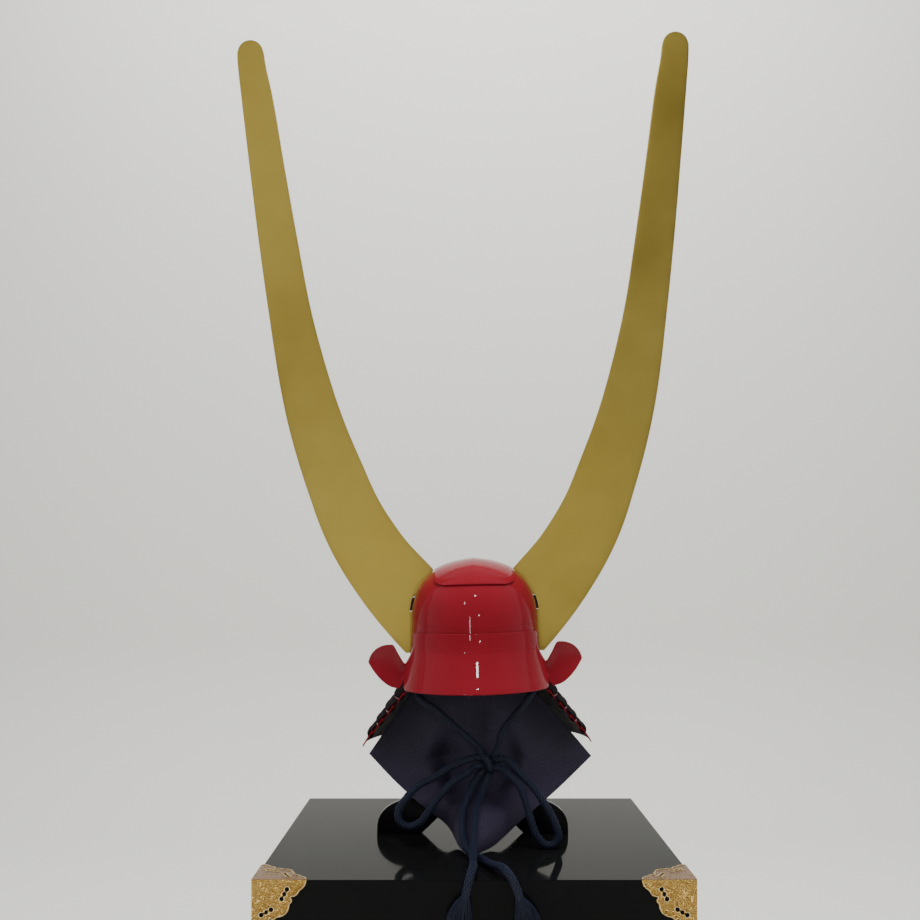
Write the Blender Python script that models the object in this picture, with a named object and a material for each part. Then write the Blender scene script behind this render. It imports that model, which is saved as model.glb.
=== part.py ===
"""Kabuto helmet with two tall horns, hung with cord and cloth on a stand that stands on a lacquered chest.

Metres, +Z up, +Y away from the viewer. The origin is the middle of the chest's underside.
"""

import math

import bmesh
import bpy
from mathutils import Vector

# Clearance between pieces that touch
GAP = 0.0003

# Chest: a box with a lid that comes down over it
CHEST_WIDTH = 0.500
CHEST_DEPTH = 0.450
CHEST_HEIGHT = 0.340
CHEST_WALL = 0.010
LID_WALL = 0.008
LID_SKIRT = 0.090
LID_EDGE_RADIUS = 0.0012
FITTING_SIZE = 0.061
FITTING_THICKNESS = 0.0012
PIERCING_RADIUS = 0.0027

# Stand: two arched boards halved into a cross, a post and a padded head
STAND_X = 0.0008
BOARD_THICKNESS = 0.012
SIDE_BOARD_HALF_LENGTH = 0.128
SIDE_BOARD_HEIGHT = 0.053
FRONT_BOARD_HALF_LENGTH = 0.100
FRONT_BOARD_HEIGHT = 0.050
ARCH_HALF_WIDTH = 0.0685
ARCH_HEIGHT = 0.028
POST_RADIUS = 0.013
HEAD_RADIUS = 0.042
HEAD_THICKNESS = 0.026
HEAD_CROWN_RADIUS = 0.070

# Helmet: heights are above its brim
BRIM_ABOVE_CHEST = 0.1975
HELMET_X = 0.0050
HELMET_LEAN = math.radians(-1.15)
BOWL_WALL = 0.003
BOWL_HALF_WIDTH = 0.0845
BOWL_HALF_LENGTH = 0.099
BOWL_SPRING = 0.0835
BOWL_RISE = 0.083
BOWL_POWER = 2.42
BOWL_RIM_HEIGHT = 0.0075
RIM_HALF_WIDTH = 0.090
RIM_HALF_LENGTH = 0.103
TOP_PLATE_HALF_WIDTH = 0.0505
TOP_PLATE_FRONT = 0.086
TOP_PLATE_BACK = 0.080
TOP_PLATE_THICKNESS = 0.0017
TOP_RIDGE = 0.0028
VISOR_THICKNESS = 0.0025
VISOR_HEIGHT = 0.0745
VISOR_REACH = 0.025
VISOR_HALF_WIDTH = 0.094
TURNBACK_ROOT_X = 0.0900
TURNBACK_ROOT_Y = -0.0215
TURNBACK_HOLLOW = 0.003
TURNBACK_LENGTH = 0.053
TURNBACK_HEIGHT = 0.059
TURNBACK_THICKNESS = 0.0022

# Neck guard: rows of plates, each lower one outside the one above
NECK_ROWS = 5
NECK_ROW_THICKNESS = 0.0016
NECK_TOP = 0.0145
NECK_BOTTOM = -0.076
NECK_OVERLAP = 0.005
NECK_PLAY = 0.0003
NECK_FLARE = 0.57
NECK_FRONT_ANGLE_TOP = math.radians(29)
NECK_FRONT_ANGLE_BOTTOM = math.radians(7)

# Horns: flat blades in one upright plane at the bowl's widest place
HORN_BOTTOM = 0.0455
HORN_TIP = 0.873
HORN_REACH = 0.3036
HORN_TIP_RADIUS = 0.0172
HORN_THICKNESS = 0.005
HORN_EDGE_RADIUS = 0.0016
HORN_PLANE_Y = 0.004
HORN_CLEARANCE = 0.0009
HORN_NOTCH = 0.0032
BRACKET_HEIGHT = 0.018
BRACKET_BASE = 0.102
BRACKET_DEPTH = 0.030
BRACKET_REACH = 0.026
BRACKET_EAR = 0.0024

# Cloth: a square hung by one corner, tied at its middle
CLOTH_SIDE = 0.250
CLOTH_THICKNESS = 0.002

# Cords
CORD_DIAMETER = 0.010
KNOT_HALF_WIDTH = 0.017
KNOT_HALF_DEPTH = 0.011
KNOT_HALF_HEIGHT = 0.0145
TASSEL_LENGTH = 0.090
TASSEL_HALF_WIDTH = 0.016
TASSEL_HALF_DEPTH = 0.0085

# Smoothness of round shapes
DOME_SIDES = 40
DOME_LEVELS = 7
HORN_LEVELS = 20
CLOTH_CELLS = 16

COLOURS = {
    "black lacquer": ((0.010, 0.010, 0.011), 0.12, 0.0),
    "black wood": ((0.012, 0.012, 0.013), 0.35, 0.0),
    "red lacquer": ((0.26, 0.012, 0.016), 0.12, 0.0),
    "gilt horn": ((0.40, 0.28, 0.075), 0.38, 0.9),
    "gilt brass": ((0.62, 0.43, 0.15), 0.35, 1.0),
    "dark iron": ((0.03, 0.03, 0.032), 0.4, 0.9),
    "plum cloth": ((0.022, 0.018, 0.030), 0.75, 0.0),
    "navy cord": ((0.012, 0.016, 0.045), 0.8, 0.0),
}

# Square cloth, section by section from its upper corner to its lower one. Columns: share of the half diagonal,
# then the left edge, middle and right edge as (x, y, z) above the chest's lid, then how deep the left fold, the
# right fold and the middle valley go, and how far each half swells outwards. All lengths are shares of the side.
CLOTH_SECTIONS = [
    (1.0, (0.016, -0.072, 1.116), (0.016, -0.072, 1.116), (0.016, -0.072, 1.116), 0.0, 0.0, 0.0, 0.0),
    (0.75, (-0.12, -0.03, 0.96), (0.03, -0.10, 0.944), (0.16, -0.03, 0.952), 0.0, 0.0, 0.02, 0.0),
    (0.4, (-0.34, 0.03, 0.724), (0.056, -0.12, 0.692), (0.388, 0.02, 0.704), 0.0, 0.0, 0.05, 0.0),
    (0.2, (-0.448, 0.068, 0.572), (0.068, -0.14, 0.556), (0.52, 0.06, 0.552), 0.04, 0.024, 0.03, 0.0),
    (0.0, (-0.56, 0.10, 0.408), (0.076, -0.144, 0.416), (0.652, 0.10, 0.396), 0.088, 0.048, 0.0, 0.0),
    (-0.2, (-0.432, 0.0, 0.296), (0.056, -0.136, 0.28), (0.516, -0.008, 0.292), 0.08, 0.056, 0.0, 0.0),
    (-0.4, (-0.288, -0.104, 0.188), (0.028, -0.232, 0.212), (0.38, -0.112, 0.196), 0.032, 0.04, 0.0, 0.0),
    (-0.6, (-0.132, -0.144, 0.076), (0.012, -0.344, 0.186), (0.24, -0.208, 0.104), 0.0, 0.0, 0.0, 0.032),
    (-0.8, (-0.068, -0.32, 0.010), (0.004, -0.440, 0.112), (0.104, -0.336, 0.016), 0.0, 0.0, 0.0, 0.036),
    (-1.0, (-0.020, -0.512, 0.006), (-0.020, -0.512, 0.006), (-0.020, -0.512, 0.006), 0.0, 0.0, 0.0, 0.0),
]

# Horn blade above the bowl. Columns: share of the height from the blade's foot to its tip, then the outer and
# the inner edge's distance from the helmet's middle plane as shares of the reach.
HORN_EDGES = [
    (0.0, 0.306, None),
    (0.020, 0.355, None),
    (0.057, 0.438, None),
    (0.105, 0.530, None),
    (0.1341, 0.5787, 0.1752),
    (0.1576, 0.6136, 0.2345),
    (0.1794, 0.642, 0.2885),
    (0.2121, 0.6785, 0.352),
    (0.250, 0.7125, 0.414),
    (0.311, 0.7635, 0.486),
    (0.371, 0.805, 0.552),
    (0.432, 0.837, 0.607),
    (0.553, 0.882, 0.692),
    (0.673, 0.921, 0.749),
    (0.794, 0.955, 0.801),
    (0.915, 0.987, 0.851),
    (0.963, 0.9985, 0.877),
    (1.0, 1.0, 0.887),
]

# Visor, from its flange on the bowl to its lower edge. Columns: share of the height, share of the forward
# reach, half width as a share of the widest.
VISOR_SECTIONS = [
    (1.0, 0.0, 0.84),
    (0.85, 0.015, 0.84),
    (0.70, 0.07, 0.845),
    (0.57, 0.20, 0.90),
    (0.41, 0.41, 0.968),
    (0.235, 0.65, 0.98),
    (0.07, 0.90, 0.985),
    (0.0, 1.0, 0.955),
]

# Turned-back plate from its root to its point. Columns: share of the length, lower edge and upper edge as shares
# of the height, distance behind the root as a share of the length.
TURNBACK_SECTIONS = [
    (0.0, 0.41, 0.56, 0.0),
    (0.08, 0.20, 0.575, 0.01),
    (0.19, 0.0, 0.73, 0.02),
    (0.38, 0.025, 0.99, 0.07),
    (0.52, 0.085, 0.985, 0.12),
    (0.68, 0.20, 0.945, 0.19),
    (0.84, 0.355, 0.85, 0.28),
    (0.95, 0.483, 0.73, 0.35),
    (1.0, 0.56, 0.62, 0.39),
]

# One eighth of the corner plate's scalloped edge, from an edge of the chest to the plate's diagonal: the notches
# between lobes as shares of the plate's size, and how far the lobe before each notch bulges.
FITTING_NOTCHES = [
    (1.0, 0.0, 0.0),
    (0.87, 0.19, 0.030),
    (0.705, 0.31, 0.035),
    (0.69, 0.44, 0.035),
]
# Middles of the three drops of each piercing, as shares of the plate's size
PIERCING_DROPS = [(0.635, 0.16), (0.585, 0.25), (0.535, 0.34)]

# Routes of the cords, as (x, y, z) with z above the chest's lid. Each starts or ends at the knot.
KNOT_CENTRE = (0.0195, -0.0485, 0.1025)
CHIN_STRAP_ROUTE = [
    (0.0095, -0.0500, 0.1205),
    (-0.0118, -0.0515, 0.1400),
    (-0.0273, -0.0530, 0.1536),
    (-0.0483, -0.0550, 0.1723),
    (-0.0674, -0.0540, 0.1860),
    (-0.0700, -0.0380, 0.1995),
    (-0.0732, -0.0077, 0.2095),
    (-0.0688, 0.0309, 0.2110),
    (-0.0503, 0.0648, 0.2110),
    (-0.0228, 0.0854, 0.2110),
    (0.0050, 0.0914, 0.2110),
    (0.0328, 0.0854, 0.2110),
    (0.0603, 0.0648, 0.2110),
    (0.0788, 0.0309, 0.2110),
    (0.0832, -0.0077, 0.2095),
    (0.0830, -0.0380, 0.2020),
    (0.0735, -0.0540, 0.1894),
    (0.0642, -0.0550, 0.1754),
    (0.0514, -0.0540, 0.1604),
    (0.0385, -0.0520, 0.1420),
    (0.0330, -0.0505, 0.1215),
]
BOW_LOOP_LEFT_ROUTE = [
    (0.0015, -0.0520, 0.1095),
    (-0.0244, -0.0570, 0.1003),
    (-0.0507, -0.0630, 0.0851),
    (-0.0682, -0.0690, 0.0775),
    (-0.0833, -0.0760, 0.0633),
    (-0.0940, -0.0810, 0.0469),
    (-0.0927, -0.0830, 0.0343),
    (-0.0820, -0.0830, 0.0275),
    (-0.0677, -0.0820, 0.0319),
    (-0.0570, -0.0800, 0.0443),
    (-0.0483, -0.0770, 0.0565),
    (-0.0374, -0.0730, 0.0697),
    (-0.0243, -0.0680, 0.0820),
    (-0.0080, -0.0620, 0.0905),
    (0.0010, -0.0555, 0.0975),
]
BOW_LOOP_RIGHT_ROUTE = [
    (0.0402, -0.0525, 0.1085),
    (0.0490, -0.0560, 0.1040),
    (0.0640, -0.0630, 0.0874),
    (0.0768, -0.0690, 0.0752),
    (0.0873, -0.0760, 0.0612),
    (0.0979, -0.0815, 0.0450),
    (0.1061, -0.0860, 0.0262),
    (0.1082, -0.0870, 0.0159),
    (0.1016, -0.0875, 0.0062),
    (0.0908, -0.0875, 0.0060),
    (0.0800, -0.0870, 0.0178),
    (0.0737, -0.0840, 0.0345),
    (0.0697, -0.0800, 0.0488),
    (0.0655, -0.0760, 0.0633),
    (0.0583, -0.0700, 0.0787),
    (0.0470, -0.0635, 0.0890),
    (0.0388, -0.0565, 0.0960),
]
TAIL_LEFT_ROUTE = [
    (0.0200, -0.0540, 0.0845),
    (0.0155, -0.0590, 0.0760),
    (0.0115, -0.0650, 0.0670),
    (0.0070, -0.0760, 0.0590),
    (0.0040, -0.0940, 0.0520),
    (0.0020, -0.1170, 0.0360),
    (0.0010, -0.1330, 0.0215),
    (0.0002, -0.1460, 0.0165),
    (-0.0005, -0.1660, 0.0095),
    (-0.0007, -0.1850, 0.0065),
    (-0.0007, -0.2000, 0.0095),
    (-0.0015, -0.2140, 0.0115),
    (-0.0035, -0.2253, 0.0084),
    (-0.0065, -0.2335, 0.0003),
    (-0.0095, -0.2365, -0.0110),
    (-0.0105, -0.2365, -0.0190),
]
TAIL_RIGHT_ROUTE = [
    (0.0080, -0.0530, 0.0865),
    (-0.0005, -0.0615, 0.0745),
    (-0.0065, -0.0730, 0.0620),
    (-0.0120, -0.0880, 0.0470),
    (-0.0130, -0.1080, 0.0300),
    (-0.0095, -0.1280, 0.0150),
    (-0.0010, -0.1400, 0.0060),
    (0.0090, -0.1520, 0.0055),
    (0.0190, -0.1780, 0.0060),
    (0.0270, -0.2000, 0.0095),
    (0.0320, -0.2140, 0.0115),
    (0.0380, -0.2253, 0.0084),
    (0.0440, -0.2335, 0.0003),
    (0.0490, -0.2365, -0.0110),
    (0.0510, -0.2365, -0.0200),
]
# Distance between a cord's points along its route, in diameters
STRAP_STEP = 3.0
LOOP_STEP = 2.0
TAIL_STEP = 1.7


def clear_scene():
    for old in list(bpy.data.objects):
        bpy.data.objects.remove(old, do_unlink=True)


def material(name):
    found = bpy.data.materials.get(name)
    if found:
        return found
    colour, roughness, metallic = COLOURS[name]
    made = bpy.data.materials.new(name)
    made.use_nodes = True
    shader = made.node_tree.nodes["Principled BSDF"]
    shader.inputs["Base Color"].default_value = (*colour, 1.0)
    shader.inputs["Roughness"].default_value = roughness
    shader.inputs["Metallic"].default_value = metallic
    made.diffuse_color = (*colour, 1.0)
    return made


def add_object(name, data, finish, parent=None, location=(0.0, 0.0, 0.0)):
    made = bpy.data.objects.new(name, data)
    bpy.context.scene.collection.objects.link(made)
    made.location = location
    made.parent = parent
    data.materials.append(material(finish))
    return made


def mesh_from(name, points, faces, smooth_angle=40.0):
    mesh = bpy.data.meshes.new(name)
    mesh.from_pydata([tuple(p) for p in points], [], faces)
    tidy = bmesh.new()
    tidy.from_mesh(mesh)
    bmesh.ops.recalc_face_normals(tidy, faces=tidy.faces)
    tidy.to_mesh(mesh)
    tidy.free()
    mesh.shade_smooth()
    mesh.set_sharp_from_angle(angle=math.radians(smooth_angle))
    return mesh


def loft(name, rings, smooth_angle=40.0):
    """A closed skin through rings of points. A ring of one point is a pole, and an end ring of more is capped."""
    points, faces, starts = [], [], []
    for ring in rings:
        starts.append(len(points))
        points.extend(ring)
    for lower, upper, a, b in zip(rings, rings[1:], starts, starts[1:]):
        count = max(len(lower), len(upper))
        for i in range(count):
            j = (i + 1) % count
            if len(lower) == 1:
                faces.append((a, b + j, b + i))
            elif len(upper) == 1:
                faces.append((a + i, a + j, b))
            else:
                faces.append((a + i, a + j, b + j, b + i))
    for ring, start in ((rings[0], starts[0]), (rings[-1], starts[-1])):
        if len(ring) > 1:
            faces.append(tuple(start + i for i in range(len(ring))))
    return mesh_from(name, points, faces, smooth_angle)


def grid(name, rows):
    """An open surface through rows of points, all rows as long as each other."""
    wide = len(rows[0])
    points = [p for row in rows for p in row]
    faces = [
        (r * wide + c, r * wide + c + 1, (r + 1) * wide + c + 1, (r + 1) * wide + c)
        for r in range(len(rows) - 1)
        for c in range(wide - 1)
    ]
    return mesh_from(name, points, faces)


def thicken(made, thickness, offset):
    """Gives a surface its wall: offset 1 puts it on the outer side of the faces, -1 on the inner, 0 on both."""
    wall = made.modifiers.new("wall", "SOLIDIFY")
    wall.thickness = thickness
    wall.offset = offset
    wall.use_even_offset = True
    wall.use_quality_normals = True
    return made


def face_towards(mesh, direction):
    """Turns a surface's faces so that their mean normal points the way given at the mesh's middle."""
    total = Vector((0.0, 0.0, 0.0))
    for face in mesh.polygons:
        total += face.normal * face.area
    if total.dot(Vector(direction)) < 0:
        mesh.flip_normals()


def through(points, step):
    """Points about a step apart on the smooth curve through the given ones (centripetal Catmull-Rom)."""
    knots = [Vector(p) for p in points]
    knots = [2 * knots[0] - knots[1], *knots, 2 * knots[-1] - knots[-2]]
    fine = []
    for p0, p1, p2, p3 in zip(knots, knots[1:], knots[2:], knots[3:]):
        t1 = (p1 - p0).length ** 0.5
        t2 = t1 + (p2 - p1).length ** 0.5
        t3 = t2 + (p3 - p2).length ** 0.5
        for k in range(16):
            t = t1 + (t2 - t1) * k / 16
            a1 = p0 * ((t1 - t) / t1) + p1 * (t / t1)
            a2 = p1 * ((t2 - t) / (t2 - t1)) + p2 * ((t - t1) / (t2 - t1))
            a3 = p2 * ((t3 - t) / (t3 - t2)) + p3 * ((t - t2) / (t3 - t2))
            b1 = a1 * ((t2 - t) / t2) + a2 * (t / t2)
            b2 = a2 * ((t3 - t) / (t3 - t1)) + a3 * ((t - t1) / (t3 - t1))
            fine.append(b1 * ((t2 - t) / (t2 - t1)) + b2 * ((t - t1) / (t2 - t1)))
    fine.append(knots[-2])
    along = [0.0]
    for a, b in zip(fine, fine[1:]):
        along.append(along[-1] + (b - a).length)
    count = max(2, round(along[-1] / step) + 1)
    spaced, i = [], 0
    for k in range(count):
        at = along[-1] * k / (count - 1)
        while i < len(along) - 2 and along[i + 1] < at:
            i += 1
        share = (at - along[i]) / max(along[i + 1] - along[i], 1e-12)
        spaced.append(fine[i].lerp(fine[i + 1], min(1.0, share)))
    return spaced


def smooth_value(table, at, column):
    """A column of a table at a place between its rows, on a smooth curve that doesn't overshoot a level row."""
    rows = sorted(table, key=lambda row: row[0])
    at = min(max(at, rows[0][0]), rows[-1][0])
    i = max(k for k in range(len(rows) - 1) if rows[k][0] <= at)
    slopes = [
        (b[column] - a[column]) / (b[0] - a[0]) for a, b in zip(rows, rows[1:])
    ]
    before = slopes[max(i - 1, 0)]
    after = slopes[min(i + 1, len(slopes) - 1)]
    start = 0.5 * (before + slopes[i]) if before * slopes[i] > 0 else 0.0
    end = 0.5 * (after + slopes[i]) if after * slopes[i] > 0 else 0.0
    step = rows[i + 1][0] - rows[i][0]
    u = (at - rows[i][0]) / step
    return (
        rows[i][column] * (1 + 2 * u) * (1 - u) ** 2
        + step * start * u * (1 - u) ** 2
        + rows[i + 1][column] * u * u * (3 - 2 * u)
        + step * end * u * u * (u - 1)
    )


def bowl_section(height, inwards=0.0):
    """Half width and half length of the bowl's outline at a height above the brim, inwards by a wall."""
    if height >= BOWL_SPRING:
        share = min(1.0, (height - BOWL_SPRING) / (BOWL_RISE - inwards))
        size = (1 - share**BOWL_POWER) ** (1 / BOWL_POWER)
        return size * (BOWL_HALF_WIDTH - inwards), size * (BOWL_HALF_LENGTH - inwards)
    share = (BOWL_SPRING - height) / (BOWL_SPRING - BOWL_RIM_HEIGHT)
    half_width = BOWL_HALF_WIDTH + share * (RIM_HALF_WIDTH - BOWL_HALF_WIDTH)
    half_length = BOWL_HALF_LENGTH + share * (RIM_HALF_LENGTH - BOWL_HALF_LENGTH)
    return half_width - inwards, half_length - inwards


def bowl_side(height, y, outwards=0.0):
    """Distance of the bowl's side from the middle plane at a height and a depth."""
    half_width, half_length = bowl_section(height)
    share = min(1.0, abs(y) / half_length)
    return half_width * math.sqrt(1 - share * share) + outwards


def bowl_top(x, y, inwards=0.0):
    """Height of the bowl's surface over a place in plan."""
    size = math.hypot(x / (BOWL_HALF_WIDTH - inwards), y / (BOWL_HALF_LENGTH - inwards))
    rise = (1 - min(1.0, size) ** BOWL_POWER) ** (1 / BOWL_POWER)
    return BOWL_SPRING + (BOWL_RISE - inwards) * rise


def ellipse(half_width, half_length, height, sides=DOME_SIDES):
    turn = 2 * math.pi / sides
    return [
        (half_width * math.sin(i * turn), -half_length * math.cos(i * turn), height)
        for i in range(sides)
    ]


def make_bowl(helmet):
    rings = []
    for inwards in (0.0, BOWL_WALL):
        wall = []
        crown = BOWL_SPRING + BOWL_RISE - inwards
        wall.append([(0.0, 0.0, crown)])
        for level in range(1, DOME_LEVELS + 1):
            angle = 0.5 * math.pi * level / DOME_LEVELS
            height = BOWL_SPRING + (BOWL_RISE - inwards) * math.cos(angle) ** (2 / BOWL_POWER)
            height = max(height, BOWL_SPRING)
            size = math.sin(angle) ** (2 / BOWL_POWER)
            half_width = size * (BOWL_HALF_WIDTH - inwards)
            half_length = size * (BOWL_HALF_LENGTH - inwards)
            wall.append(ellipse(half_width, half_length, height))
        for share in (0.5, 1.0):
            height = BOWL_SPRING + share * (BOWL_RIM_HEIGHT - BOWL_SPRING)
            wall.append(ellipse(*bowl_section(height, inwards), height))
        rings.append(wall)
    outer, inner = rings
    return add_object("bowl", loft("bowl", outer + inner[::-1]), "red lacquer", helmet)


def top_plate_point(across, along):
    """A point of the top plate's underside; across and along go from -1 to 1 over its rounded outline."""
    reach = TOP_PLATE_FRONT if along < 0 else TOP_PLATE_BACK
    y = along * reach
    x = across * TOP_PLATE_HALF_WIDTH * (1 - along**24) ** 0.24
    size = reach / BOWL_HALF_LENGTH
    y *= math.sqrt(1 - (x / (size * BOWL_HALF_WIDTH)) ** 2)
    here = Vector((x, y, bowl_top(x, y)))
    nudge = 0.0005
    slope_x = (bowl_top(x + nudge, y) - bowl_top(x - nudge, y)) / (2 * nudge)
    slope_y = (bowl_top(x, y + nudge) - bowl_top(x, y - nudge)) / (2 * nudge)
    normal = Vector((-slope_x, -slope_y, 1.0)).normalized()
    return here, normal


def make_top_plate(helmet):
    across_steps, along_steps = 10, 15
    under, over = [], []
    for r in range(along_steps + 1):
        even = -1 + 2 * r / along_steps
        along = 0.985 * (0.35 * even + 0.65 * math.sin(0.5 * math.pi * even))
        low, high = [], []
        for c in range(across_steps + 1):
            across = -1 + 2 * c / across_steps
            here, normal = top_plate_point(across, along)
            ridge = TOP_RIDGE * (1 - abs(across)) ** 2 * (1 - along**4)
            lift = GAP + 0.0007
            low.append(here + normal * lift)
            high.append(here + normal * (lift + TOP_PLATE_THICKNESS + ridge))
        under.append(low)
        over.append(high)
    rings = []
    for low, high in zip(under, over):
        rings.append(low + high[::-1])
    return add_object("top_plate", loft("top_plate", rings), "red lacquer", helmet)


def make_visor(helmet):
    steps, levels = 24, 9
    rows = []
    for level in range(levels + 1):
        share = 1 - level / levels
        height = share * VISOR_HEIGHT
        forward = smooth_value(VISOR_SECTIONS, share, 1) * VISOR_REACH
        half_width = smooth_value(VISOR_SECTIONS, share, 2) * VISOR_HALF_WIDTH
        bowl_wide, bowl_long = bowl_section(max(height, BOWL_RIM_HEIGHT))
        wide = bowl_wide + 2 * GAP + forward * 0.40
        long = bowl_long + 2 * GAP + forward
        limit = math.asin(min(0.999, half_width / wide))
        row = []
        for i in range(steps + 1):
            angle = limit * (2 * i / steps - 1)
            row.append((wide * math.sin(angle), -long * math.cos(angle), height))
        rows.append(row)
    mesh = grid("visor", rows)
    face_towards(mesh, (0, -1, 0))
    return thicken(add_object("visor", mesh, "red lacquer", helmet), VISOR_THICKNESS, 1)


def neck_shape(row):
    """Top height, bottom height and outward shift of a neck row; row 0 is the top one."""
    pitch = (NECK_TOP - NECK_BOTTOM - NECK_OVERLAP) / NECK_ROWS
    top = NECK_TOP - row * pitch
    shift = row * (NECK_ROW_THICKNESS + GAP + NECK_PLAY) * math.hypot(1.0, NECK_FLARE)
    return top, top - pitch - NECK_OVERLAP, shift


def neck_size(height, shift):
    """Half width and half length of a neck row's inner face at a height."""
    half_width, half_length = bowl_section(NECK_TOP)
    out = 1.5 * GAP + shift + NECK_FLARE * (NECK_TOP - height)
    return half_width + out, half_length + out


def make_neck_row(helmet, row):
    steps, levels = 32, 1
    top, bottom, shift = neck_shape(row)
    rows = []
    for level in range(levels + 1):
        height = top + (bottom - top) * level / levels
        half_width, half_length = neck_size(height, shift)
        down = (NECK_TOP - height) / (NECK_TOP - NECK_BOTTOM)
        front = NECK_FRONT_ANGLE_TOP + down * (NECK_FRONT_ANGLE_BOTTOM - NECK_FRONT_ANGLE_TOP)
        limit = 0.5 * math.pi + front
        line = []
        for i in range(steps + 1):
            angle = limit * (2 * i / steps - 1)
            line.append((half_width * math.sin(angle), half_length * math.cos(angle), height))
        rows.append(line)
    name = f"neck_row_{row + 1}"
    mesh = grid(name, rows)
    outward = sum((f.normal.dot(Vector((f.center.x, f.center.y, 0.0))) for f in mesh.polygons))
    if outward < 0:
        mesh.flip_normals()
    return thicken(add_object(name, mesh, "red lacquer", helmet), NECK_ROW_THICKNESS, 1)


def make_turnback(helmet, side):
    name = "turnback_right" if side > 0 else "turnback_left"
    rows = []
    for share, low, high, behind in TURNBACK_SECTIONS:
        x = side * (TURNBACK_ROOT_X + share * TURNBACK_LENGTH)
        y = TURNBACK_ROOT_Y + behind * TURNBACK_LENGTH
        column = []
        for k in range(5):
            up = low + (high - low) * k / 4
            hollow = TURNBACK_HOLLOW * math.sin(math.pi * k / 4)
            column.append((x, y + hollow, up * TURNBACK_HEIGHT))
        rows.append(column)
    mesh = grid(name, rows)
    face_towards(mesh, (0, -1, 0))
    return thicken(add_object(name, mesh, "red lacquer", helmet), TURNBACK_THICKNESS, 1)


def horn_notch():
    """Lowest and highest point of the notch that the bracket's foot passes through."""
    return BRACKET_BASE - 0.001, BRACKET_BASE + BRACKET_HEIGHT + 0.001


def horn_edges(height):
    """Inner and outer edge of a blade at a height above the brim, as distances from the middle plane."""
    rise = HORN_TIP - HORN_BOTTOM
    share = (height - HORN_BOTTOM) / rise
    outer = smooth_value(HORN_EDGES, share, 1) * HORN_REACH
    inner_rows = [row for row in HORN_EDGES if row[2] is not None]
    low, high = horn_notch()
    if share < inner_rows[0][0]:
        inner = bowl_side(height, HORN_PLANE_Y, HORN_NOTCH if low < height < high else HORN_CLEARANCE)
    else:
        inner = smooth_value(inner_rows, share, 2) * HORN_REACH
    tip_middle = HORN_TIP - HORN_TIP_RADIUS
    if height > tip_middle:
        middle = 0.5 * (
            smooth_value(HORN_EDGES, (tip_middle - HORN_BOTTOM) / rise, 1) * HORN_REACH
            + smooth_value(inner_rows, (tip_middle - HORN_BOTTOM) / rise, 2) * HORN_REACH
        )
        half = math.sqrt(max(0.0, HORN_TIP_RADIUS**2 - (height - tip_middle) ** 2))
        inner, outer = middle - half, middle + half
    return inner, max(outer, inner + 0.002)


def make_horn(helmet, side):
    name = "horn_right" if side > 0 else "horn_left"
    tip_middle = HORN_TIP - HORN_TIP_RADIUS
    corner = HORN_BOTTOM + HORN_EDGES[4][0] * (HORN_TIP - HORN_BOTTOM)
    low, high = horn_notch()
    heights = [HORN_BOTTOM + (low - HORN_BOTTOM) * k / 6 for k in range(7)]
    heights += [low + 0.0005, 0.5 * (low + high), high - 0.0005]
    heights += [high + (corner - high) * k / 4 for k in range(4)]
    heights += [corner + (tip_middle - corner) * (k / HORN_LEVELS) ** 1.3 for k in range(HORN_LEVELS)]
    heights += [tip_middle + HORN_TIP_RADIUS * math.sin(0.5 * math.pi * k / 5) for k in range(5)]
    heights.append(HORN_TIP - 0.0001)
    rows = []
    for height in heights:
        inner, outer = horn_edges(height)
        rows.append([(side * x, HORN_PLANE_Y, height) for x in (inner, outer)])
    made = add_object(name, grid(name, rows), "gilt horn", helmet)
    thicken(made, HORN_THICKNESS, 0)
    edge = made.modifiers.new("edge", "BEVEL")
    edge.width = HORN_EDGE_RADIUS
    edge.segments = 1
    edge.limit_method = "ANGLE"
    edge.angle_limit = math.radians(60)
    return made


def make_bracket(helmet, side):
    """An angle piece: a foot on the bowl's side and an ear behind the blade."""
    name = "horn_bracket_right" if side > 0 else "horn_bracket_left"
    ear_front = HORN_PLANE_Y + 0.5 * HORN_THICKNESS + GAP
    foot_front = HORN_PLANE_Y - 0.5 * HORN_THICKNESS - 0.003
    foot_back = foot_front + BRACKET_DEPTH
    foot_thickness = HORN_NOTCH - 4 * GAP
    rings = []
    for k in range(4):
        height = BRACKET_BASE + BRACKET_HEIGHT * k / 3

        def place(y, out, height=height):
            return (side * (bowl_side(height, y, 2 * GAP) + out), y, height)

        ear_end = side * (bowl_side(height, HORN_PLANE_Y) + BRACKET_REACH)
        depths = [foot_front, HORN_PLANE_Y, ear_front, 0.5 * (ear_front + foot_back), foot_back]
        ring = [place(y, 0.0) for y in depths]
        ring.append(place(foot_back, foot_thickness))
        ring.append(place(ear_front + BRACKET_EAR, foot_thickness))
        ring.append((ear_end, ear_front + BRACKET_EAR, height))
        ring.append((ear_end, ear_front, height))
        ring.append(place(ear_front, foot_thickness))
        ring.append(place(HORN_PLANE_Y, foot_thickness))
        ring.append(place(foot_front, foot_thickness))
        rings.append(ring)
    return add_object(name, loft(name, rings), "dark iron", helmet)


def cup(name, half_width, half_depth, closed_z, open_z, wall, floor):
    """A box open at one end."""
    way = 1 if open_z > closed_z else -1

    def ring(inset, z):
        w, d = half_width - inset, half_depth - inset
        return [(-w, -d, z), (w, -d, z), (w, d, z), (-w, d, z)]

    rings = [
        ring(0.0, closed_z),
        ring(0.0, open_z),
        ring(wall, open_z),
        ring(wall, closed_z + way * floor),
    ]
    return loft(name, rings)


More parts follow.
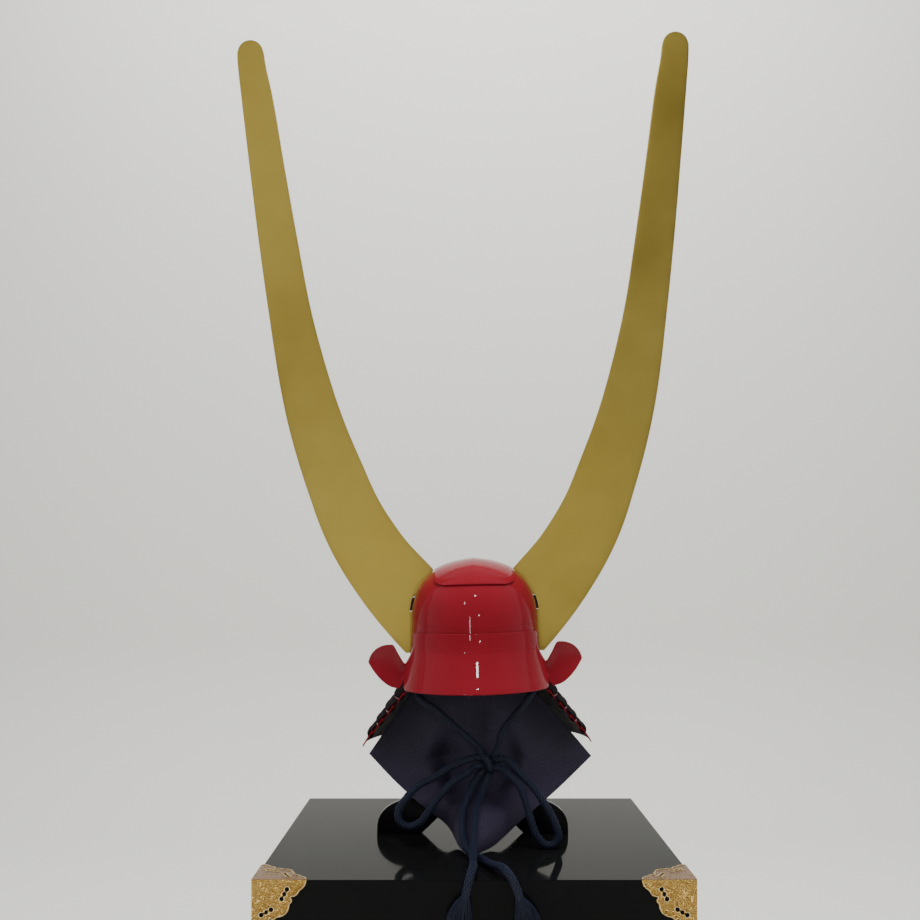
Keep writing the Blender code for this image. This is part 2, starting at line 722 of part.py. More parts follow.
def make_chest():
    lid_top = CHEST_HEIGHT
    body_top = lid_top - LID_WALL - GAP
    inset = LID_WALL + GAP
    body = cup(
        "chest_body",
        0.5 * CHEST_WIDTH - inset,
        0.5 * CHEST_DEPTH - inset,
        0.0,
        body_top,
        CHEST_WALL,
        CHEST_WALL,
    )
    add_object("chest_body", body, "black lacquer")
    lid = cup(
        "chest_lid",
        0.5 * CHEST_WIDTH,
        0.5 * CHEST_DEPTH,
        lid_top,
        lid_top - LID_SKIRT,
        LID_WALL,
        LID_WALL,
    )
    made = add_object("chest_lid", lid, "black lacquer")
    weights = lid.attributes.new("bevel_weight_edge", "FLOAT", "EDGE")
    for side in lid.edges:
        weights.data[side.index].value = 1.0 if max(side.vertices) < 8 else 0.0
    edge = made.modifiers.new("edge", "BEVEL")
    edge.width = LID_EDGE_RADIUS
    edge.segments = 2
    edge.limit_method = "WEIGHT"


def fitting_outline():
    """The plate's outline on one face of the chest, from one of its edges round to the other."""
    half = []
    for (u0, v0, _), (u1, v1, bulge) in zip(FITTING_NOTCHES, FITTING_NOTCHES[1:]):
        along = Vector((u1 - u0, v1 - v0))
        across = Vector((along.y, -along.x)).normalized()
        for k in range(4):
            share = k / 4
            half.append(Vector((u0, v0)) + along * share + across * bulge * math.sin(math.pi * share))
    last = Vector(FITTING_NOTCHES[-1][:2])
    mirror = Vector((last.y, last.x))
    out = Vector((1.0, 1.0)).normalized()
    for k in range(3):
        share = k / 6
        half.append(last.lerp(mirror, share) + out * 0.075 * math.sin(math.pi * share))
    middle = last.lerp(mirror, 0.5) + out * 0.075
    outline = half + [middle] + [Vector((p.y, p.x)) for p in half[::-1]]
    return [p * FITTING_SIZE for p in outline]


def piercing_outline(first, last, radius):
    """Round a row of three touching drops, as a closed outline in a face's own plane."""
    way = (last - first) / 2
    bite = math.acos(min(1.0, 0.5 * way.length / radius))
    start = math.atan2(way.y, way.x)
    arcs = [
        (first + 2 * way, -math.pi + bite, math.pi - bite, 7),
        (first + way, bite, math.pi - bite, 2),
        (first, bite, 2 * math.pi - bite, 7),
        (first + way, math.pi + bite, 2 * math.pi - bite, 2),
    ]
    points = []
    for centre, low, high, count in arcs:
        for k in range(count):
            angle = start + low + (high - low) * k / count
            points.append(centre + radius * Vector((math.cos(angle), math.sin(angle))))
    return points


def on_face(face, side, u, v, out):
    """A point near a front corner of the lid: face 0 is the front, 1 the top and 2 the side."""
    corner_x = side * (0.5 * CHEST_WIDTH)
    if face == 0:
        return (corner_x - side * u, -0.5 * CHEST_DEPTH - out, CHEST_HEIGHT - v)
    if face == 1:
        return (corner_x - side * u, -0.5 * CHEST_DEPTH + v, CHEST_HEIGHT + out)
    return (corner_x + side * out, -0.5 * CHEST_DEPTH + u, CHEST_HEIGHT - v)


def make_fitting(side):
    """Three scalloped plates that meet over a front corner of the lid, each with two piercings."""
    name = "corner_fitting_right" if side > 0 else "corner_fitting_left"
    outline = fitting_outline()
    points, faces, found = [], [], {}

    def number(point):
        key = tuple(round(c, 6) for c in point)
        if key not in found:
            found[key] = len(points)
            points.append(point)
        return found[key]

    for face in range(3):
        edge = [Vector((-GAP, -GAP))]
        edge += [Vector((outline[0].x, -GAP))] + outline[1:-1] + [Vector((-GAP, outline[-1].y))]
        faces.append([number(on_face(face, side, p.x, p.y, GAP)) for p in edge])
    mesh = mesh_from(name, points, faces, 30.0)
    face_towards(mesh, (side, -1, 1))
    made = thicken(add_object(name, mesh, "gilt brass"), FITTING_THICKNESS, 1)

    cut_points, cut_faces = [], []
    depth = 4 * FITTING_THICKNESS
    for face in range(3):
        for swap in (False, True):
            ends = [Vector(PIERCING_DROPS[0]), Vector(PIERCING_DROPS[-1])]
            if swap:
                ends = [Vector((p.y, p.x)) for p in ends]
            first, last = (p * FITTING_SIZE for p in ends)
            ring = piercing_outline(first, last, PIERCING_RADIUS)
            start = len(cut_points)
            count = len(ring)
            for out in (-depth, depth):
                cut_points += [on_face(face, side, p.x, p.y, out) for p in ring]
            cut_faces.append(tuple(start + i for i in range(count)))
            cut_faces.append(tuple(start + count + i for i in range(count)))
            for i in range(count):
                j = (i + 1) % count
                cut_faces.append((start + i, start + j, start + count + j, start + count + i))
    cutter = add_object(f"{name}_cutter", mesh_from(f"{name}_cutter", cut_points, cut_faces), "gilt brass")
    cutter.hide_render = True
    cutter.display_type = "WIRE"
    pierce = made.modifiers.new("piercings", "BOOLEAN")
    pierce.operation = "DIFFERENCE"
    pierce.solver = "EXACT"
    pierce.object = cutter


def board_outline(half_length, height, power, notch_from_top):
    """Half of an arched board's outline in its own plane, mirrored: round shoulders, an arch and a halving notch."""
    notch = 0.5 * BOARD_THICKNESS + GAP
    middle = 0.5 * (ARCH_HEIGHT + FRONT_BOARD_HEIGHT)
    half = []
    if notch_from_top:
        half.append((notch, middle))
    steps = 14
    for k in range(steps + 1):
        angle = 0.5 * math.pi * k / steps
        across = half_length * math.sin(angle) ** (2 / power)
        up = height * math.cos(angle) ** (2 / power)
        if across > notch:
            half.append((across, max(up, 0.0)))
        elif notch_from_top and k == 0:
            half.append((notch, height))
        elif k == 0:
            half.append((0.0, height))
    slope = ARCH_HEIGHT
    half.append((ARCH_HALF_WIDTH, 0.0))
    half.append((ARCH_HALF_WIDTH - 0.75 * slope, 0.72 * slope))
    half.append((ARCH_HALF_WIDTH - 1.05 * slope, 0.93 * slope))
    half.append((ARCH_HALF_WIDTH - 1.4 * slope, ARCH_HEIGHT))
    if not notch_from_top:
        half.append((notch, ARCH_HEIGHT))
        half.append((notch, middle + GAP))
    mirrored = [(-x, z) for x, z in half[::-1] if x > 0]
    return half + mirrored


def make_stand(helmet):
    lid = CHEST_HEIGHT + GAP
    thick = 0.5 * BOARD_THICKNESS

    side_board = board_outline(SIDE_BOARD_HALF_LENGTH, SIDE_BOARD_HEIGHT, 3.0, True)
    rings = [[(x, y, z) for x, z in side_board] for y in (-thick, thick)]
    place = (STAND_X, 0.0, lid)
    add_object("stand_base_side", loft("stand_base_side", rings), "black wood", location=place)

    front_board = board_outline(FRONT_BOARD_HALF_LENGTH, FRONT_BOARD_HEIGHT, 2.0, False)
    rings = [[(x, y, z) for y, z in front_board] for x in (-thick, thick)]
    add_object("stand_base_front", loft("stand_base_front", rings), "black wood", location=place)

    head_top = BOWL_SPRING + BOWL_RISE - BOWL_WALL - GAP
    head_bottom = head_top - HEAD_THICKNESS
    brim = CHEST_HEIGHT + BRIM_ABOVE_CHEST
    post_bottom = lid + SIDE_BOARD_HEIGHT + GAP
    post_top = brim + head_bottom * math.cos(HELMET_LEAN) - 2 * GAP
    rings = [
        ellipse(POST_RADIUS, POST_RADIUS, z, 20) for z in (post_bottom, post_top)
    ]
    post_x = HELMET_X + head_bottom * math.sin(HELMET_LEAN)
    made = add_object("stand_post", loft("stand_post", rings), "black wood", location=(post_x, 0.0, 0.0))
    made.data.set_sharp_from_angle(angle=math.radians(40))

    rings = [[(0.0, 0.0, head_top)]]
    for k in range(1, 4):
        r = HEAD_RADIUS * k / 3
        drop = HEAD_CROWN_RADIUS - math.sqrt(HEAD_CROWN_RADIUS**2 - r * r)
        rings.append(ellipse(r, r, head_top - drop, 24))
    rings.append(ellipse(HEAD_RADIUS, HEAD_RADIUS, head_bottom + 0.006, 24))
    rings.append(ellipse(HEAD_RADIUS - 0.006, HEAD_RADIUS - 0.006, head_bottom, 24))
    add_object("stand_head", loft("stand_head", rings), "black wood", helmet)


def hump(at, middle, half_width):
    """A smooth bump of height 1."""
    away = abs(at - middle) / half_width
    return 0.5 + 0.5 * math.cos(math.pi * away) if away < 1 else 0.0


def cloth_point(across, down):
    """A point of the hung cloth. Both run from -1 to 1 along the square's diagonals."""
    upper = down > 0
    half = [row for row in CLOTH_SECTIONS if row[0] == 0 or (row[0] > 0) == upper]
    flat = [(row[0], *row[1], *row[2], *row[3], *row[4:]) for row in half]
    values = [smooth_value(flat, down, column) for column in range(1, 14)]
    left, middle, right = Vector(values[0:3]), Vector(values[3:6]), Vector(values[6:9])
    left_fold, right_fold, valley, swell = values[9:13]
    reach = 1 - abs(down)
    share = 0.0 if reach < 1e-6 else max(-1.0, min(1.0, across / reach))
    side, end = (right, 1) if share > 0 else (left, -1)
    away = abs(share)
    point = middle.lerp(side, away)
    point.x += end * swell * math.sin(math.pi * away ** 0.7)
    point.y += left_fold * hump(share, -0.30, 0.24) + right_fold * hump(share, 0.22, 0.18)
    point.y += valley * hump(share, 0.0, 0.22)
    return point * CLOTH_SIDE


def make_cloth():
    rows = []
    for r in range(CLOTH_CELLS + 1):
        row = []
        for c in range(CLOTH_CELLS + 1):
            u, v = r / CLOTH_CELLS, c / CLOTH_CELLS
            row.append(cloth_point(v - u, 1 - u - v))
        rows.append(row)
    mesh = grid("cloth", rows)
    face_towards(mesh, (0, -1, 0))
    made = add_object("cloth", mesh, "plum cloth", location=(0.0, 0.0, CHEST_HEIGHT))
    thicken(made, CLOTH_THICKNESS, 0)


def make_cord(name, route, step):
    curve = bpy.data.curves.new(name, "CURVE")
    curve.dimensions = "3D"
    curve.bevel_depth = 0.5 * CORD_DIAMETER
    curve.bevel_resolution = 2
    curve.use_fill_caps = True
    points = through(route, step * CORD_DIAMETER)
    spline = curve.splines.new("POLY")
    spline.points.add(len(points) - 1)
    for target, point in zip(spline.points, points):
        target.co = (*point, 1.0)
    add_object(name, curve, "navy cord", location=(0.0, 0.0, CHEST_HEIGHT))


def make_knot():
    rings = [[(-1.0, 0.0, 0.0)]]
    for k in range(1, 8):
        angle = math.pi * k / 8
        size = math.sin(angle) ** 0.7
        turn = [2 * math.pi * i / 16 for i in range(16)]
        rings.append([(-math.cos(angle), size * math.cos(t), size * math.sin(t)) for t in turn])
    rings.append([(1.0, 0.0, 0.0)])
    sized = [
        [(x * KNOT_HALF_WIDTH, y * KNOT_HALF_DEPTH, z * KNOT_HALF_HEIGHT) for x, y, z in ring]
        for ring in rings
    ]
    x, y, z = KNOT_CENTRE
    add_object("knot", loft("knot", sized, 60.0), "navy cord", location=(x, y, CHEST_HEIGHT + z))


def make_tassel(name, route, drift):
    """Locks of unpicked cord, fused into one skirt, lying flat on the chest's front."""
    before, end = through(route, TAIL_STEP * CORD_DIAMETER)[-2:]
    way = (end - before).normalized()
    top = end + way * GAP + Vector((0.0, 0.0, CHEST_HEIGHT))
    face_y = -0.5 * CHEST_DEPTH - GAP
    sides, levels = 20, 7
    rings = []
    for level in range(levels + 1):
        share = level / levels
        spread = math.sin(0.5 * math.pi * min(1.0, share / 0.35)) ** 0.8
        wide = 0.5 * CORD_DIAMETER + (TASSEL_HALF_WIDTH - 0.5 * CORD_DIAMETER) * spread
        deep = 0.5 * CORD_DIAMETER + (TASSEL_HALF_DEPTH - 0.5 * CORD_DIAMETER) * spread
        middle_y = top.y + (min(top.y, face_y - deep * 1.1) - top.y) * spread
        tilt = (1 - share) ** 6
        ring = []
        for i in range(sides):
            angle = 2 * math.pi * i / sides
            lock = 1 + 0.10 * spread * math.cos(0.5 * sides * angle)
            x = wide * lock * math.cos(angle)
            y = deep * lock * math.sin(angle)
            z = -share * TASSEL_LENGTH - tilt * (way.x * x + way.y * y) / way.z
            ring.append((top.x + drift * spread + x, middle_y + y, top.z + z))
        rings.append(ring)
    add_object(name, loft(name, rings, 70.0), "navy cord")


def main():
    clear_scene()
    helmet = bpy.data.objects.new("helmet_seat", None)
    bpy.context.scene.collection.objects.link(helmet)
    helmet.location = (HELMET_X, 0.0, CHEST_HEIGHT + BRIM_ABOVE_CHEST)
    helmet.rotation_euler = (0.0, HELMET_LEAN, 0.0)

    make_chest()
    make_stand(helmet)
    make_bowl(helmet)
    make_top_plate(helmet)
    make_visor(helmet)
    for row in range(NECK_ROWS):
        make_neck_row(helmet, row)
    for side in (-1, 1):
        make_fitting(side)
        make_turnback(helmet, side)
        make_horn(helmet, side)
        make_bracket(helmet, side)
    make_cloth()
    make_knot()
    make_cord("chin_strap", CHIN_STRAP_ROUTE, STRAP_STEP)
    make_cord("bow_loop_left", BOW_LOOP_LEFT_ROUTE, LOOP_STEP)
    make_cord("bow_loop_right", BOW_LOOP_RIGHT_ROUTE, LOOP_STEP)
    make_cord("tail_left", TAIL_LEFT_ROUTE, TAIL_STEP)
    make_cord("tail_right", TAIL_RIGHT_ROUTE, TAIL_STEP)
    make_tassel("tassel_left", TAIL_LEFT_ROUTE, -0.007)
    make_tassel("tassel_right", TAIL_RIGHT_ROUTE, 0.009)
    bpy.context.view_layer.update()


main()
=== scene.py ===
import math

import bmesh
import bpy
import numpy as np
from mathutils import Matrix, Vector


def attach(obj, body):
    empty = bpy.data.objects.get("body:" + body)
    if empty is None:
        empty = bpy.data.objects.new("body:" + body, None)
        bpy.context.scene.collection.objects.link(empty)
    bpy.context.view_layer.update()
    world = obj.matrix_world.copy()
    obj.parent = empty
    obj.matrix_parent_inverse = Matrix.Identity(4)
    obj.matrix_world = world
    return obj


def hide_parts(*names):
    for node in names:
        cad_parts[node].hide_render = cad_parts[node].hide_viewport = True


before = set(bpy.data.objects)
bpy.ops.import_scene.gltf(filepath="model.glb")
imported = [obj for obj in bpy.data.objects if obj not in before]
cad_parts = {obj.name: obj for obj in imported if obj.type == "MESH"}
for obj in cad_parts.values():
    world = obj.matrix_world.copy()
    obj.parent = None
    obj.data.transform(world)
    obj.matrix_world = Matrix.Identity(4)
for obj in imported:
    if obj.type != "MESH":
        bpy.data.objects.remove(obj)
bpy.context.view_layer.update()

# Camera: it stands level in front of the chest and looks over the lid, at the height of the helmet's bowl.
# The picture is shifted up so that the horns' tips fit in it.
CHEST_TOP = 0.340
CAMERA_X = -0.0161
CAMERA_DISTANCE = 1.4176
CAMERA_OVER_LID = 0.3384
SENSOR_WIDTH = 36.0
LENS = 41.33
PICTURE_SHIFT = 0.131
camera_data = bpy.data.cameras.new("camera")
camera = bpy.data.objects.new("camera", camera_data)
bpy.context.scene.collection.objects.link(camera)
camera.location = (CAMERA_X, -CAMERA_DISTANCE, CHEST_TOP + CAMERA_OVER_LID)
camera.rotation_euler = (math.radians(90), 0.0, 0.0)
camera_data.sensor_width = SENSOR_WIDTH
camera_data.lens = LENS
camera_data.shift_y = PICTURE_SHIFT
camera_data.clip_start = 0.01
bpy.context.scene.camera = camera


# Braided cord: a round silk braid, 10 mm thick, of many strands that cross over and under each other. One
# length makes the chin strap, and others the two loops of the bow and the two tails. They meet in a knot.
CORD_DIAMETER = 0.010
BRAID_STRANDS = 8
BRAID_PITCH = 0.0066
BRAID_RELIEF = 0.0014
BRAID_SIDES = 48
BRAID_STEP = 0.0009
STRAND_FULLNESS = 0.6
CROSSING_SHARE = 0.45
ROUTE_CUTS = 24
CORD_NAVY = (0.0050, 0.0075, 0.020)
# Painted shade between the braid's strands.
CORD_NAVY_CREVICE_SHADE = (0.0004, 0.0006, 0.0018)
# Painted highlight on the crowns of the strands.
CORD_NAVY_STRAND_HIGHLIGHT = (0.0165, 0.0225, 0.050)

CHIN_STRAP_ROUTE = [
    (0.0095, -0.0500, 0.1205),
    (-0.0118, -0.0515, 0.1400),
    (-0.0273, -0.0530, 0.1536),
    (-0.0483, -0.0550, 0.1723),
    (-0.0674, -0.0540, 0.1860),
    (-0.0700, -0.0380, 0.1995),
    (-0.0732, -0.0077, 0.2095),
    (-0.0688, 0.0309, 0.2110),
    (-0.0503, 0.0648, 0.2110),
    (-0.0228, 0.0854, 0.2110),
    (0.0050, 0.0914, 0.2110),
    (0.0328, 0.0854, 0.2110),
    (0.0603, 0.0648, 0.2110),
    (0.0788, 0.0309, 0.2110),
    (0.0832, -0.0077, 0.2095),
    (0.0830, -0.0380, 0.2020),
    (0.0735, -0.0540, 0.1894),
    (0.0642, -0.0550, 0.1754),
    (0.0514, -0.0540, 0.1604),
    (0.0385, -0.0520, 0.1420),
    (0.0330, -0.0505, 0.1215),
]
BOW_LOOP_LEFT_ROUTE = [
    (0.0015, -0.0520, 0.1095),
    (-0.0244, -0.0570, 0.1003),
    (-0.0507, -0.0630, 0.0851),
    (-0.0682, -0.0690, 0.0775),
    (-0.0833, -0.0760, 0.0633),
    (-0.0940, -0.0810, 0.0469),
    (-0.0927, -0.0830, 0.0343),
    (-0.0820, -0.0830, 0.0275),
    (-0.0677, -0.0820, 0.0319),
    (-0.0570, -0.0800, 0.0443),
    (-0.0483, -0.0770, 0.0565),
    (-0.0374, -0.0730, 0.0697),
    (-0.0243, -0.0680, 0.0820),
    (-0.0080, -0.0620, 0.0905),
    (0.0010, -0.0555, 0.0975),
]
BOW_LOOP_RIGHT_ROUTE = [
    (0.0402, -0.0525, 0.1085),
    (0.0490, -0.0560, 0.1040),
    (0.0640, -0.0630, 0.0874),
    (0.0768, -0.0690, 0.0752),
    (0.0873, -0.0760, 0.0612),
    (0.0979, -0.0815, 0.0450),
    (0.1061, -0.0860, 0.0262),
    (0.1082, -0.0870, 0.0159),
    (0.1016, -0.0875, 0.0062),
    (0.0908, -0.0875, 0.0060),
    (0.0800, -0.0870, 0.0178),
    (0.0737, -0.0840, 0.0345),
    (0.0697, -0.0800, 0.0488),
    (0.0655, -0.0760, 0.0633),
    (0.0583, -0.0700, 0.0787),
    (0.0470, -0.0635, 0.0890),
    (0.0388, -0.0565, 0.0960),
]
TAIL_LEFT_ROUTE = [
    (0.0200, -0.0540, 0.0845),
    (0.0155, -0.0590, 0.0760),
    (0.0115, -0.0650, 0.0670),
    (0.0070, -0.0760, 0.0590),
    (0.0040, -0.0940, 0.0520),
    (0.0020, -0.1170, 0.0360),
    (0.0010, -0.1330, 0.0215),
    (0.0002, -0.1460, 0.0165),
    (-0.0005, -0.1660, 0.0095),
    (-0.0007, -0.1850, 0.0065),
    (-0.0007, -0.2000, 0.0095),
    (-0.0015, -0.2140, 0.0115),
    (-0.0035, -0.2253, 0.0084),
    (-0.0065, -0.2335, 0.0003),
    (-0.0095, -0.2365, -0.0110),
    (-0.0105, -0.2365, -0.0190),
]
TAIL_RIGHT_ROUTE = [
    (0.0080, -0.0530, 0.0865),
    (-0.0005, -0.0615, 0.0745),
    (-0.0065, -0.0730, 0.0620),
    (-0.0120, -0.0880, 0.0470),
    (-0.0130, -0.1080, 0.0300),
    (-0.0095, -0.1280, 0.0150),
    (-0.0010, -0.1400, 0.0060),
    (0.0090, -0.1520, 0.0055),
    (0.0190, -0.1780, 0.0060),
    (0.0270, -0.2000, 0.0095),
    (0.0320, -0.2140, 0.0115),
    (0.0380, -0.2253, 0.0084),
    (0.0440, -0.2335, 0.0003),
    (0.0490, -0.2365, -0.0110),
    (0.0510, -0.2365, -0.0200),
]


def lengths_along(line):
    """How far each point of a line lies from its start."""
    return np.concatenate([[0.0], np.cumsum(np.linalg.norm(np.diff(line, axis=0), axis=1))])


def ways_along(line):
    """The line's direction at each of its points."""
    ways = np.gradient(line, axis=0)
    return ways / np.linalg.norm(ways, axis=1)[:, None]


def between(a, b, start, end, at):
    """The point between a at the start and b at the end."""
    return a * ((end - at) / (end - start)) + b * ((at - start) / (end - start))


def smooth_route(points):
    """Points a step apart on the smooth curve through the given ones (centripetal Catmull-Rom)."""
    knots = [Vector(p) for p in points]
    knots = [2 * knots[0] - knots[1], *knots, 2 * knots[-1] - knots[-2]]
    fine = []
    for p0, p1, p2, p3 in zip(knots, knots[1:], knots[2:], knots[3:]):
        t1 = (p1 - p0).length ** 0.5
        t2 = t1 + (p2 - p1).length ** 0.5
        t3 = t2 + (p3 - p2).length ** 0.5
        for k in range(ROUTE_CUTS):
            t = t1 + (t2 - t1) * k / ROUTE_CUTS
            middle = between(p1, p2, t1, t2, t)
            before = between(between(p0, p1, 0.0, t1, t), middle, 0.0, t2, t)
            after = between(middle, between(p2, p3, t2, t3, t), t1, t3, t)
            fine.append(between(before, after, t1, t2, t))
    fine.append(knots[-2])
    line = np.array(fine)
    along = lengths_along(line)
    at = np.linspace(0.0, along[-1], max(3, round(along[-1] / BRAID_STEP) + 1))
    return np.stack([np.interp(at, along, line[:, k]) for k in range(3)], axis=1)


def smooth_mesh(name, points, faces):
    mesh = bpy.data.meshes.new(name)
    mesh.from_pydata([tuple(p) for p in points], [], faces)
    mesh.shade_smooth()
    return mesh


def braid_mesh(name, line):
    """A closed braided tube along a line. Its attribute braid_depth is 1 on a strand and 0 between them."""
    count = len(line)
    ways = ways_along(line)
    across = np.zeros_like(ways)
    start = np.cross(ways[0], (0.0, 0.0, 1.0) if abs(ways[0][2]) < 0.9 else (1.0, 0.0, 0.0))
    across[0] = start / np.linalg.norm(start)
    for i in range(1, count):
        carried = across[i - 1] - ways[i] * np.dot(across[i - 1], ways[i])
        across[i] = carried / np.linalg.norm(carried)
    other = np.cross(ways, across)
    turn = np.arange(BRAID_SIDES) / BRAID_SIDES
    s = lengths_along(line)[:, None] / BRAID_PITCH
    right = s + turn[None, :] * BRAID_STRANDS
    left = s - turn[None, :] * BRAID_STRANDS
    right_strand = np.abs(np.sin(math.pi * right)) ** STRAND_FULLNESS
    left_strand = np.abs(np.sin(math.pi * left)) ** STRAND_FULLNESS
    over = (np.floor(right) + np.floor(left)) % 2 < 1
    upper = np.where(over, right_strand, left_strand)
    lower = np.where(over, left_strand, right_strand)
    depth = upper * (1 - CROSSING_SHARE + CROSSING_SHARE * lower)
    size = 0.5 * CORD_DIAMETER - BRAID_RELIEF * (1.0 - depth)
    angle = (2 * math.pi * turn)[None, :, None]
    ring = across[:, None, :] * np.cos(angle) + other[:, None, :] * np.sin(angle)
    flat = (line[:, None, :] + ring * size[:, :, None]).reshape(-1, 3)
    i = np.arange(count - 1)[:, None] * BRAID_SIDES
    j = np.arange(BRAID_SIDES)[None, :]
    k = (j + 1) % BRAID_SIDES
    quads = np.stack([i + j, i + k, i + BRAID_SIDES + k, i + BRAID_SIDES + j], axis=-1).reshape(-1, 4)
    faces = [tuple(int(v) for v in q) for q in quads]
    first, last = len(flat), len(flat) + 1
    end = (count - 1) * BRAID_SIDES
    for a in range(BRAID_SIDES):
        b = (a + 1) % BRAID_SIDES
        faces += [(first, b, a), (last, end + a, end + b)]
    mesh = smooth_mesh(name, [*flat.tolist(), line[0], line[-1]], faces)
    shade = mesh.attributes.new("braid_depth", "FLOAT", "POINT")
    shade.data.foreach_set("value", np.append(depth, [0.5, 0.5]).astype(np.float32))
    return mesh


def new_finish(name, colour, roughness, metallic=0.0, specular=None):
    """A material with its Principled shader, ready for the nodes that a finish needs."""
    made = bpy.data.materials.new(name)
    made.use_nodes = True
    shader = made.node_tree.nodes["Principled BSDF"]
    shader.inputs["Base Color"].default_value = (*colour, 1.0)
    shader.inputs["Roughness"].default_value = roughness
    shader.inputs["Metallic"].default_value = metallic
    if specular is not None:
        shader.inputs["Specular IOR Level"].default_value = specular
    return made, made.node_tree, shader


def feed(tree, socket, value):
    """Sets an input to a value, or links it to the output that is given in its place."""
    if isinstance(value, bpy.types.NodeSocket):
        tree.links.new(value, socket)
    else:
        socket.default_value = value


def add_node(tree, kind, inputs=(), **settings):
    """A new node's outputs, once its settings and inputs are in place."""
    made = tree.nodes.new(kind)
    for key, value in settings.items():
        setattr(made, key, value)
    for socket, value in dict(inputs).items():
        feed(tree, made.inputs[socket], value)
    return made.outputs


def noise(tree, scale, detail=4.0, roughness=0.5, distortion=0.0, stretch=None):
    """A noise texture on the piece's own coordinates, which may be drawn out along an axis."""
    place = add_node(tree, "ShaderNodeTexCoord")["Object"]
    if stretch:
        place = add_node(tree, "ShaderNodeMapping", {"Vector": place, "Scale": stretch})["Vector"]
    sizes = {"Scale": scale, "Detail": detail, "Roughness": roughness, "Distortion": distortion}
    return add_node(tree, "ShaderNodeTexNoise", {"Vector": place, **sizes})["Fac"]


def ramp(tree, source, stops):
    """Colours along a 0 to 1 value. Each stop is a place with a colour, or with one value for a grey."""
    made = tree.nodes.new("ShaderNodeValToRGB")
    band = made.color_ramp
    while len(band.elements) < len(stops):
        band.elements.new(0.5)
    for element, (at, colour) in zip(band.elements, stops):
        element.position = at
        element.color = (*(colour if isinstance(colour, tuple) else [colour] * 3), 1.0)
    tree.links.new(source, made.inputs["Fac"])
    return made.outputs["Color"]


def tint(tree, shader, source, *stops, socket="Base Color"):
    """Lets the shader's colour, or another input, follow a ramp."""
    tree.links.new(ramp(tree, source, stops), shader.inputs[socket])


def bump(tree, shader, height, distance, strength=1.0):
    raised = add_node(tree, "ShaderNodeBump", {"Height": height, "Distance": distance, "Strength": strength})
    tree.links.new(raised["Normal"], shader.inputs["Normal"])


def add_piece(name, mesh, *finishes):
    made = bpy.data.objects.new(name, mesh)
    bpy.context.scene.collection.objects.link(made)
    for finish in finishes:
        mesh.materials.append(finish)
    return made


def fit(piece, node=None):
    """Fixes a finished piece to the object, and puts it in a node's place if one is given."""
    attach(piece, "root")
    if node:
        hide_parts(node)
    return piece


cord_silk, tree, shader = new_finish("cord_silk", CORD_NAVY, 0.62, specular=0.30)
depth = add_node(tree, "ShaderNodeAttribute", attribute_name="braid_depth")["Fac"]
# Painted shade and highlight: the braid is darker between its strands, where braid_depth is low, and lighter
# on the strands' crowns.
tint(tree, shader, depth, (0.35, CORD_NAVY_CREVICE_SHADE), (0.80, CORD_NAVY), (1.0, CORD_NAVY_STRAND_HIGHLIGHT))
bump(tree, shader, noise(tree, 2600.0, 2.0), 0.0004, 0.5)


def braided_cord(name, route, node, **cord):
    """A length of the braid on its route, in place of a node. What is said of the real cord, given as cord,
    is not used.
    """
    line = smooth_route([(x, y, z + CHEST_TOP) for x, y, z in route])
    piece = fit(add_piece(name, braid_mesh(name, line), cord_silk), node)


for node, route, length, stiffness in (
    ("chin_strap", CHIN_STRAP_ROUTE, 0.573, "limp"),
    ("bow_loop_left", BOW_LOOP_LEFT_ROUTE, 0.263, "medium"),
    ("bow_loop_right", BOW_LOOP_RIGHT_ROUTE, 0.260, "medium"),
):
    braided_cord(f"{node}_braid", route, node, length=length, far_end="object", stiffness=stiffness)

# Knot of the bow: the same braid, drawn tight. One turn goes round the middle, and others pass across it
# to the strap, the loops and the tails.
KNOT_CENTRE = Vector((0.0195, -0.0485, 0.1025))
KNOT_TURNS = [
    [(-0.006, 0.004, 0.010), (-0.004, -0.006, 0.009), (0.001, -0.0085, 0.000),
     (0.004, -0.006, -0.009), (0.005, 0.004, -0.010)],
    [(-0.018, -0.003, 0.007), (-0.008, -0.004, 0.007), (0.002, 0.001, 0.005),
     (0.012, -0.002, 0.004), (0.021, -0.004, 0.006)],
    [(-0.018, -0.006, -0.005), (-0.009, -0.006, -0.003), (0.000, 0.000, -0.003),
     (0.010, -0.005, -0.006), (0.019, -0.007, -0.0065)],
    [(-0.010, -0.0015, 0.018), (-0.006, -0.002, 0.010), (0.000, 0.003, 0.004),
     (0.006, 0.001, -0.005), (0.0, -0.005, -0.019)],
    [(0.0135, -0.002, 0.019), (0.010, -0.002, 0.011), (0.003, 0.002, 0.002),
     (-0.004, -0.002, -0.008), (-0.0115, -0.0045, -0.016)],
]
turns = bmesh.new()
for number, route in enumerate(KNOT_TURNS):
    placed = [Vector(p) + KNOT_CENTRE + Vector((0.0, 0.0, CHEST_TOP)) for p in route]
    turns.from_mesh(braid_mesh(f"knot_turn_{number}", smooth_route(placed)))
knot_mesh = bpy.data.meshes.new("knot_braid")
turns.to_mesh(knot_mesh)
turns.free()
knot_mesh.shade_smooth()
fit(add_piece("knot_braid", knot_mesh, cord_silk), "knot")

# Tassels: each tail of the braid ends in its own unpicked strands. They spread below the last of the braid
# and lie flat against the front of the lid.
TASSEL_LENGTH = 0.090
TASSEL_HALF_WIDTH = 0.0155
TASSEL_HALF_DEPTH = 0.0075
TASSEL_THREADS = 230
THREAD_RADIUS = 0.00062
THREAD_CUTS = 14
GOLDEN_TURN = 2.39996
BUNDLE_RADIUS = 0.0042
SPREAD_FROM = 0.0050
SPREAD_RATE = 2.9
SPREAD_POWER = 0.8
THREAD_SWING = 0.0052
THREAD_RAGGED = 0.006
WAVE_ACROSS = 3.0
WAVE_DOWN = 42.0
WAVE_SCALE = 1.3
LID_FRONT_Y = -0.225


